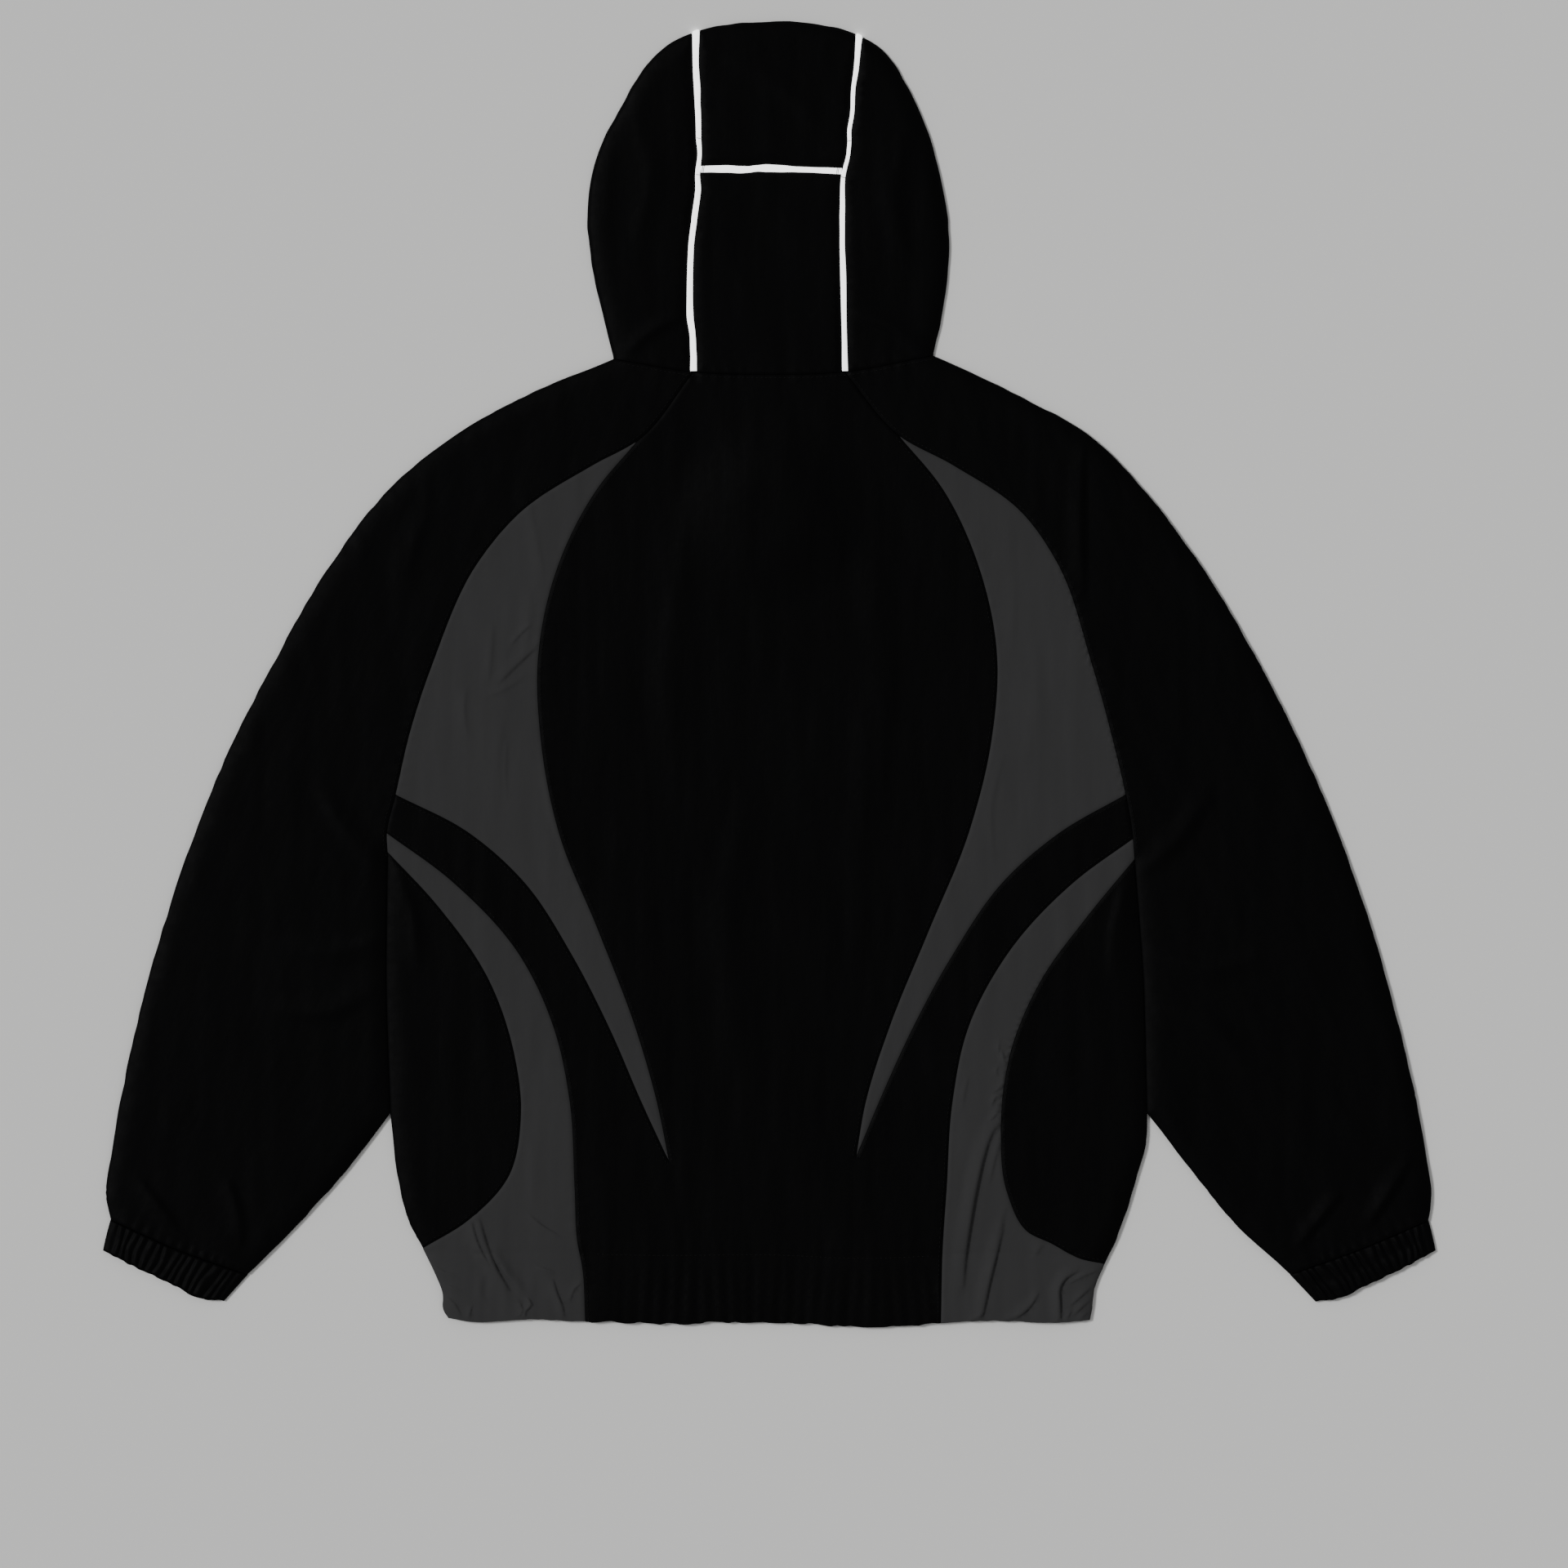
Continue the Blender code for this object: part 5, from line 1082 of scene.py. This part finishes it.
def stitches(name, lines, height, above, material,
             pitch=STITCH_PITCH, share=STITCH_SHARE, facing=1):
    """Rows of sunk stitches on the cloth along lines; above is from the wall's middle."""
    angles = np.linspace(0, 2 * math.pi, 6, endpoint=False)
    parts = []
    for line in lines:
        line = resample(line, pitch)
        middle = (line[:-1] + line[1:]) / 2
        way = np.diff(line, axis=0)
        side = unit(left_of(way))
        rings = []
        for place, girth, rise in STITCH_RINGS:
            centre = middle + way * share * place
            level = height(centre) + facing * (above + rise * THREAD_WIDTH)
            reach = THREAD_WIDTH / 2 * girth
            rings.append([np.column_stack([centre + side * math.cos(angle) * reach,
                                           level + facing * math.sin(angle) * reach])
                          for angle in angles])
        parts += [[[corner[k] for corner in ring] for ring in rings] for k in range(len(middle))]
    made = skins(name, parts, material)
    return made


# ---------------------------------------------------------------- the zip

# A moulded tooth, from its foot on the tape to its head: distance from the centre line to its
# own side, and half its width.
TOOTH = [(3.0, 0.5), (2.2, 0.62), (1.3, 0.36), (0.8, 0.56), (-0.1, 0.6), (-0.5, 0.36)]
TOOTH_PITCH = 2.5
TOOTH_PROUD = 0.1             # the teeth stand this far above the tape
TEETH_FROM = TAPE_BOTTOM + 2.0
TEETH_TO = SLIDER_Y + 2.0
TAPE_COLUMNS = (1.2, 3.2, 6.0, 9.0, 12.0, 14.2, TAPE_WIDTH)
TAPE_ROWS = 120
# Half the slider's outline: distance from the centre line and from the slider's middle.
SLIDER_SIDE = [
    (3.3, 6.0), (4.3, 5.4), (4.5, 4.4), (4.3, 1.5), (3.7, -3.0), (3.4, -5.4), (2.8, -6.0)]
POST_SIDE = [(0.7, 5.7), (1.3, 5.0), (0.9, 3.9)]
POST_SUNK = (0.2, 0.9)        # the post's ends lie this high in the outer and the inner plate
# The arch's bar: outer and inner side, as half its length and its height.
ARCH_SIDES = ((3.5, 2.5), (2.73, 1.7))
ARCH_HALF = 0.95
ARCH_SUNK = 0.15              # the arch's feet stand this deep in the outer plate
# The pull's outline and its two windows: half width, lower and upper end, corner radius.
PULL_OUTLINES = ((3.5, -PULL_LENGTH, 0.5, 1.5), (2.3, -5.6, -0.5, 0.6), (1.7, -19.5, -9.5, 1.6))
PULL_BEVEL = 0.18


def plate(corners, low, high):
    """Rings of a flat piece with softened edges."""
    corners = np.array(corners, float)
    centre = corners.mean(axis=0)
    soft = 0.18 * (high - low)
    return [[(x, y, z) for x, y in centre + (corners - centre) * size]
            for z, size in ((low, 0.86), (low + soft, 1.0), (high - soft, 1.0), (high, 0.86))]


def on_slider(half):
    """The whole outline of a part of the slider from its half."""
    return [(x, SLIDER_Y + y) for x, y in half + [(-x, y) for x, y in half[::-1]]]


def zip_half(side_name, side):
    """A woven tape and its row of teeth."""
    half_tooth = [(side * x, half) for x, half in TOOTH]
    tooth = half_tooth + [(x, -half) for x, half in half_tooth[::-1]]
    low = SEAM_GAP + TOOTH_PROUD
    parts = []
    for y in np.arange(TEETH_FROM + TOOTH_PITCH * (side + 1) / 4, TEETH_TO, TOOTH_PITCH):
        rise = lift(np.array([[0.0, y]]))[0]
        parts.append(plate([(x, y + across) for x, across in tooth],
                           low + rise, low + WALL + TAPE_THICK + rise))
    teeth = skins(f"zip_teeth_{side_name}", parts, ZIP_PLASTIC)
    vertices = []
    for y in np.linspace(TAPE_BOTTOM, TAPE_TOP, TAPE_ROWS):
        level = WALL + SEAM_GAP + TAPE_THICK / 2 + lift(np.array([[0.0, y]]))[0]
        vertices += [(side * x, y, level) for x in TAPE_COLUMNS]
    tape = make_shell(f"zip_tape_{side_name}", vertices,
                      grid_faces(TAPE_ROWS, len(TAPE_COLUMNS), False), TAPE, TAPE_THICK)
    edges = np.array([(side * x, y) for x, y in (
        (TAPE_COLUMNS[0], TAPE_BOTTOM), (TAPE_WIDTH, TAPE_BOTTOM), (TAPE_WIDTH, TAPE_TOP),
        (TAPE_COLUMNS[0], TAPE_TOP))])
    EXTRAS[f"zip_{side_name}"] = [teeth]
    dress(tape, f"zip_{side_name}", [edges])


def zip_slider():
    """Two waisted plates, the post between them and the arch for the pull."""
    outer_low = LIFT - PLATE_THICK
    inner_low = LIFT + WALL + 2 * SEAM_GAP + TAPE_THICK
    body = on_slider(SLIDER_SIDE)
    parts = [plate(body, outer_low, LIFT), plate(body, inner_low, inner_low + PLATE_THICK),
             plate(on_slider(POST_SIDE), outer_low + POST_SUNK[0], inner_low + POST_SUNK[1])]
    arch = []
    for angle in np.linspace(0, math.pi, 13):
        way_y, way_z = -math.cos(angle), -math.sin(angle)
        outer, inner = ((SLIDER_Y + half * np.sign(way_y) * abs(way_y) ** 0.6,
                         outer_low + ARCH_SUNK + deep * way_z) for half, deep in ARCH_SIDES)
        arch.append([(-ARCH_HALF, *outer), (ARCH_HALF, *outer),
                     (ARCH_HALF, *inner), (-ARCH_HALF, *inner)])
    parts.append(arch)
    made = skins("zip_slider_body", parts, ZIP_ENAMEL)
    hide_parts("zip_slider")


def rounded(half, low, high, radius):
    """A rectangle's outline with rounded corners."""
    points = []
    for x, y, start in ((half, high, 0), (-half, high, 90), (-half, low, 180), (half, low, 270)):
        inner = (x - math.copysign(radius, x), y - radius if y == high else y + radius)
        for degrees in range(start, start + 91, 15):
            turn = math.radians(degrees)
            points.append((inner[0] + radius * math.cos(turn), inner[1] + radius * math.sin(turn)))
    return points


def zip_pull():
    """A flat tab with a window for the arch and a second one to grip."""
    curve = bpy.data.curves.new("zip_pull_tab", "CURVE")
    curve.dimensions = "2D"
    curve.fill_mode = "BOTH"
    curve.bevel_depth = PULL_BEVEL * MM
    curve.bevel_resolution = 2
    curve.offset = -curve.bevel_depth
    curve.extrude = PULL_THICK / 2 * MM - curve.bevel_depth
    for shape in PULL_OUTLINES:
        points = rounded(*shape)
        spline = curve.splines.new("POLY")
        spline.points.add(len(points) - 1)
        for target, (x, y) in zip(spline.points, points):
            target.co = (x * MM, y * MM, 0.0, 1.0)
        spline.use_cyclic_u = True
    curve.materials.append(ZIP_ENAMEL)
    made = add_object("zip_pull_tab", curve)
    made.location = Vector((0.0, HINGE_Y, LIFT - PLATE_THICK - ARCH_WALL)) * MM
    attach(made, "pull_tab")
    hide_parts("zip_pull")


# ---------------------------------------------------------------- materials

def feed(tree, node, inputs):
    """Sets the inputs of a node: an output of another one is linked, the rest are values."""
    for name, value in inputs.items():
        if isinstance(value, bpy.types.NodeSocket):
            tree.links.new(value, node.inputs[name])
        else:
            node.inputs[name].default_value = value


def add_node(tree, kind, inputs, output=0, **settings):
    """An output of a new shader node."""
    node = tree.nodes.new(f"ShaderNode{kind}")
    for name, value in settings.items():
        setattr(node, name, value)
    feed(tree, node, inputs)
    return node.outputs[output]


def new_material(name):
    material = bpy.data.materials.new(name)
    material.use_nodes = True
    return material, material.node_tree, material.node_tree.nodes["Principled BSDF"]


def object_place(tree):
    return add_node(tree, "TexCoord", {}, "Object")


def mixed(tree, first, second, share):
    """The first height or tone by its share, and the second by the rest."""
    parts = [add_node(tree, "Math", {0: value, 1: part}, operation="MULTIPLY")
             for value, part in ((first, share), (second, 1 - share))]
    return add_node(tree, "Math", {0: parts[0], 1: parts[1]}, operation="ADD")


def woven_height(tree, place, pitch):
    """A plain weave: two sets of threads that cross, as a height from 0 to 1."""
    inputs = {"Vector": place, "Scale": 2 * math.pi / (20 * pitch), "Distortion": 1.1,
              "Detail": 1.0, "Detail Scale": 0.7}
    waves = [add_node(tree, "TexWave", inputs, "Fac", wave_type="BANDS", bands_direction=direction)
             for direction in ("X", "Y")]
    return mixed(tree, *waves, 0.5)


def noise(tree, place, scale, detail):
    return add_node(tree, "TexNoise", {"Vector": place, "Scale": scale, "Detail": detail}, "Fac")


def spread(tree, value, low=0.0, high=1.0):
    """Maps the middle half of 0 to 1, where noise mostly is, onto low to high."""
    return add_node(tree, "MapRange", {"Value": value, "From Min": 0.25, "From Max": 0.75,
                                       "To Min": low, "To Max": high}, "Result")


def two_colors(tree, share, first, second):
    return add_node(tree, "Mix", {0: share, 6: (*first, 1.0), 7: (*second, 1.0)}, 2,
                    data_type="RGBA")


def bump(tree, height, distance, strength, **under):
    return add_node(tree, "Bump", {"Height": height, "Distance": distance, "Strength": strength,
                                   **under}, "Normal")


def shell_cloth(name, dark, light, roughness, sheen, turn):
    """Woven polyester shell cloth: fine threads turned by some degrees, soft crinkle, upright
    streaks between a dark and a light tone, and painted shade in the weave's hollows, which
    are a little darker than its crowns."""
    material, tree, shader = new_material(name)
    place = add_node(tree, "Mapping", {"Vector": object_place(tree),
                                       "Rotation": (0, 0, math.radians(turn))}, "Vector")
    upright = add_node(tree, "Mapping", {"Vector": place, "Scale": (3.2, 0.5, 1.0)}, "Vector")
    weave = woven_height(tree, place, 0.00045)
    crinkle = noise(tree, place, 150.0, 4.0)
    streak = noise(tree, upright, 26.0, 5.0)
    # Painted shade: a fifth of the tone follows the weave's height, so the hollows between threads are
    # darker and the crowns lighter; the rest is random streaks and patches.
    tone = mixed(tree, mixed(tree, streak, noise(tree, place, 9.0, 3.0), 0.6), weave, 0.8)
    under = bump(tree, crinkle, 0.00035, 0.5, Normal=bump(tree, streak, 0.0007, 0.35))
    feed(tree, shader, {
        "Base Color": two_colors(tree, spread(tree, tone), dark, light),
        "Roughness": spread(tree, crinkle, roughness - 0.06, roughness + 0.06),
        "Normal": bump(tree, weave, 0.00008, 0.5, Normal=under),
        "Specular IOR Level": 0.035, "Sheen Weight": sheen, "Sheen Roughness": 0.45,
        "Sheen Tint": (0.8, 0.82, 0.85, 1.0)})
    return material


def reflective_cloth(name):
    """Silver-white tape of tiny glass beads, with a painted glow: its emission stands in for the
    light that such tape throws back at the viewer.
    """
    material, tree, shader = new_material(name)
    place = object_place(tree)
    beads = add_node(tree, "TexVoronoi", {"Vector": place, "Scale": 2600.0}, "Distance")
    soil = noise(tree, place, 90.0, 4.0)
    feed(tree, shader, {
        "Base Color": two_colors(tree, spread(tree, soil), (0.8, 0.81, 0.82), (0.9, 0.9, 0.9)),
        "Roughness": spread(tree, soil, 0.36, 0.5),
        "Normal": bump(tree, beads, 0.00008, 0.4, Normal=bump(tree, soil, 0.0004, 0.3)),
        # Painted glow: the tape emits light of its own, though it is no lamp.
        "Specular IOR Level": 0.6, "Emission Color": (1.0, 1.0, 1.0, 1.0),
        "Emission Strength": 1.9})
    return material


def thread_material(name, color):
    material, tree, shader = new_material(name)
    # Painted shade: the thread's colour drops to six tenths in the grooves of its twist, where the bump
    # sinks, and is lighter on its crowns.
    twist_and_groove_shade = add_node(tree, "TexWave", {"Vector": object_place(tree), "Scale": 900.0}, "Fac",
                     wave_type="BANDS", bands_direction="DIAGONAL")
    feed(tree, shader, {
        "Base Color": two_colors(tree, twist_and_groove_shade, tuple(0.6 * part for part in color), color),
        "Roughness": 0.55, "Normal": bump(tree, twist_and_groove_shade, 0.00008, 0.6),
        "Specular IOR Level": 0.12})
    return material


def enamel(name, metallic):
    """Black enamelled zinc, or black moulded plastic, with a little handling wear."""
    material, tree, shader = new_material(name)
    wear = noise(tree, object_place(tree), 700.0, 5.0)
    feed(tree, shader, {
        "Base Color": two_colors(tree, spread(tree, wear), (0.012, 0.012, 0.013),
                                 (0.05, 0.05, 0.052)),
        "Roughness": spread(tree, wear, 0.25, 0.45), "Normal": bump(tree, wear, 0.00003, 0.3),
        "Metallic": metallic})
    return material


BLACK_LOOK = ((0.0011, 0.0011, 0.0012), (0.0022, 0.0022, 0.0024), 0.5, 0.006)
BLACK = shell_cloth("black_shell_cloth", *BLACK_LOOK, 0)
BLACK_SLEEVE = {side: shell_cloth(f"black_shell_cloth_{side}", *BLACK_LOOK, turn)
                for side, turn in zip(SIDES, (24, -24))}
GRAY = shell_cloth(
    "gray_shell_cloth", (0.0325, 0.0325, 0.0331), (0.0395, 0.0395, 0.0402), 0.6, 0.01, 0)
# The piping's cloth, with a painted glow from its emission.
REFLECTIVE_PAINTED_GLOW = reflective_cloth("reflective_piping_painted_glow")
BLACK_THREAD = thread_material("black_thread", (0.0035, 0.0035, 0.0038))
TACK_THREAD = thread_material("tack_thread", (0.11, 0.11, 0.11))
TAPE = shell_cloth(
    "zip_tape_cloth", (0.005, 0.005, 0.0055), (0.009, 0.009, 0.0095), 0.6, 0.05, 45)
ZIP_ENAMEL = enamel("zip_enamel", 0.6)
ZIP_PLASTIC = enamel("zip_plastic", 0.0)


# ---------------------------------------------------------------- the jacket

def panels(table):
    """The names and edges of a table's pieces, with both sides filled in."""
    for template, edges in table.items():
        for number, side in sides_of(template):
            yield template.format(side), [
                (curve.format(side), *(end[number] if isinstance(end, tuple) else end
                                       for end in ends)) for curve, *ends in edges]


def cloth_of(name):
    """The slot and the material of a piece's cloth."""
    if "inset" in name:
        return "gray_cloth", GRAY
    if name.startswith("sleeve"):
        return "black_cloth", BLACK_SLEEVE[name.rsplit("_", 1)[1]]
    return "black_cloth", BLACK


def build_cloth():
    features = crease_points(CREASES)
    for name, edges in panels(UPPER_PANELS):
        slot, material = cloth_of(name)
        spacing = GRAY_GRID if slot == "gray_cloth" else UPPER_GRID
        made, loop = flat_panel(name, edges, upper_mid, features, spacing, material)
        dress(made, name, [loop])
    features = crease_points(UNDER_CREASES)
    for name, edges in panels(LOWER_PANELS):
        slot, material = cloth_of(name)
        made, loop = flat_panel(name, edges, lower_mid, features, LOWER_GRID, material)
        dress(made, name, [loop])
    for name, (fold, upper_edges, lower_edges) in FOLDED_PANELS.items():
        made, loops = folded_panel(name, fold, upper_edges, lower_edges, BLACK)
        dress(made, name, loops)
    for side_name in SIDES:
        cuff(side_name)


def build_piping():
    for side_name, edge_point in zip(SIDES, (7, 11)):
        EXTRAS[f"hood_side_{side_name}"] = [long_piping(side_name, edge_point)]
    EXTRAS["hood_crown"] = [cross_piping()]


# Topstitching: curve, side of it on the left half of the jacket, the node that it is sewn on.
TOPSTITCHING = [
    ("inset_{}", 1, "back_center"), ("sweep_top_{}", -1, "back_center"),
    ("sweep_low_{}", 1, "back_center"), ("raglan_{}", -1, "sleeve_back_{}"),
    ("side_top_{}", -1, "back_side_{}"), ("neckline", -1, "back_center")]
# The same on the lower layer, on the side that lies on the floor.
UNDERSTITCHING = [("raglan_front_{}", -1, "sleeve_front_{}"), ("front_edge_{}", -1, "front_{}")]
# Tacks across the piping where its lengths are joined: two ends of each.
PIPING_TACKS = [
    ((-53.5, 393.4), (-49.6, 392.6)), ((57.8, 390.8), (60.8, 391.3)),
    ((-48.4, 373.0), (-49.2, 367.8)), ((-47.4, 373.0), (-48.2, 367.8)),
    ((50.4, 371.4), (49.6, 366.6)), ((51.4, 371.4), (50.6, 366.6)),
    ((-54.0, 366.4), (-50.0, 366.0)), ((52.5, 364.8), (56.3, 363.8))]
TACK_PITCH = 9.0              # more than a tack's length, so that each is one stitch
TACK_SUNK = 0.28              # a tack lies this far in the piping's face,
UNDER_SUNK = 0.3              # an understitch this far in the cloth's,
THREAD_PROUD = 0.02           # and the middle of a topstitch this far above it


def sew(prefix, table, inset, height, above, facing):
    """A table's rows of stitches beside their curves; the right half mirrors the left."""
    for template, left_way, node in table:
        for number, side in sides_of(template):
            name = template.format(side)
            line = stretch(name, 0, len(SPANS[name]))
            line = line + sideways(line) * inset * (-left_way if number else left_way)
            made = stitches(f"{prefix}_{name}", [line], height, above, BLACK_THREAD, facing=facing)
            EXTRAS.setdefault(node.format(side), []).append(made)


def build_stitching():
    on_top = WALL / 2 + THREAD_PROUD
    sew("topstitch", TOPSTITCHING, STITCH_INSET, upper_mid, on_top, 1)
    casing = HEM_LINE + np.array([0.0, CASING_HEIGHT])
    casing = casing[(casing[:, 0] > CASING_STITCHED[0]) & (casing[:, 0] < CASING_STITCHED[1])]
    EXTRAS["back_center"].append(
        stitches("hem_casing_stitch", [casing], upper_mid, on_top, BLACK_THREAD))
    sew("understitch", UNDERSTITCHING, UNDER_INSET, lower_mid, WALL / 2 - UNDER_SUNK, -1)
    tacks = [np.array(ends) for ends in PIPING_TACKS]
    EXTRAS["hood_nape"] = [
        stitches("piping_tacks", tacks, lambda points: upper_base(points) + PIPING_PROUD,
                 PIPING_THICK / 2 - TACK_SUNK, TACK_THREAD, TACK_PITCH, 0.96)]


def build_floor():
    bpy.ops.mesh.primitive_plane_add(size=8.0, location=(0, 0, -0.0002))
    floor = bpy.context.object
    floor.name = "floor"
    material, tree, shader = new_material("pale_floor")
    feed(tree, shader, {"Base Color": (0.77, 0.77, 0.76, 1.0), "Roughness": 0.85,
                        "Specular IOR Level": 0.2})
    floor.data.materials.append(material)


def build_light():
    world = bpy.data.worlds.new("studio")
    world.use_nodes = True
    feed(world.node_tree, world.node_tree.nodes["Background"],
         {"Color": (1, 1, 1, 1), "Strength": 0.4})
    bpy.context.scene.world = world
    data = bpy.data.lights.new("key", "SUN")
    data.energy = 1.95
    data.angle = math.radians(14)
    key = add_object("key", data)
    key.rotation_euler = Vector((1.5, -0.5, -1.9)).to_track_quat("-Z", "Y").to_euler()


def build_camera():
    """Straight above, framed as the photograph, in metres."""
    width, middle, height = 1.152, (0.0111, -0.081), 6.0
    data = bpy.data.cameras.new("camera")
    data.sensor_width = 36.0
    data.lens = data.sensor_width * height / width
    data.clip_end = 50.0
    camera = add_object("camera", data)
    camera.location = (*middle, height)
    bpy.context.scene.camera = camera


build_camera()
build_floor()
build_light()
build_stitching()
build_piping()
build_cloth()
zip_half("left", -1)
zip_half("right", 1)
zip_slider()
zip_pull()
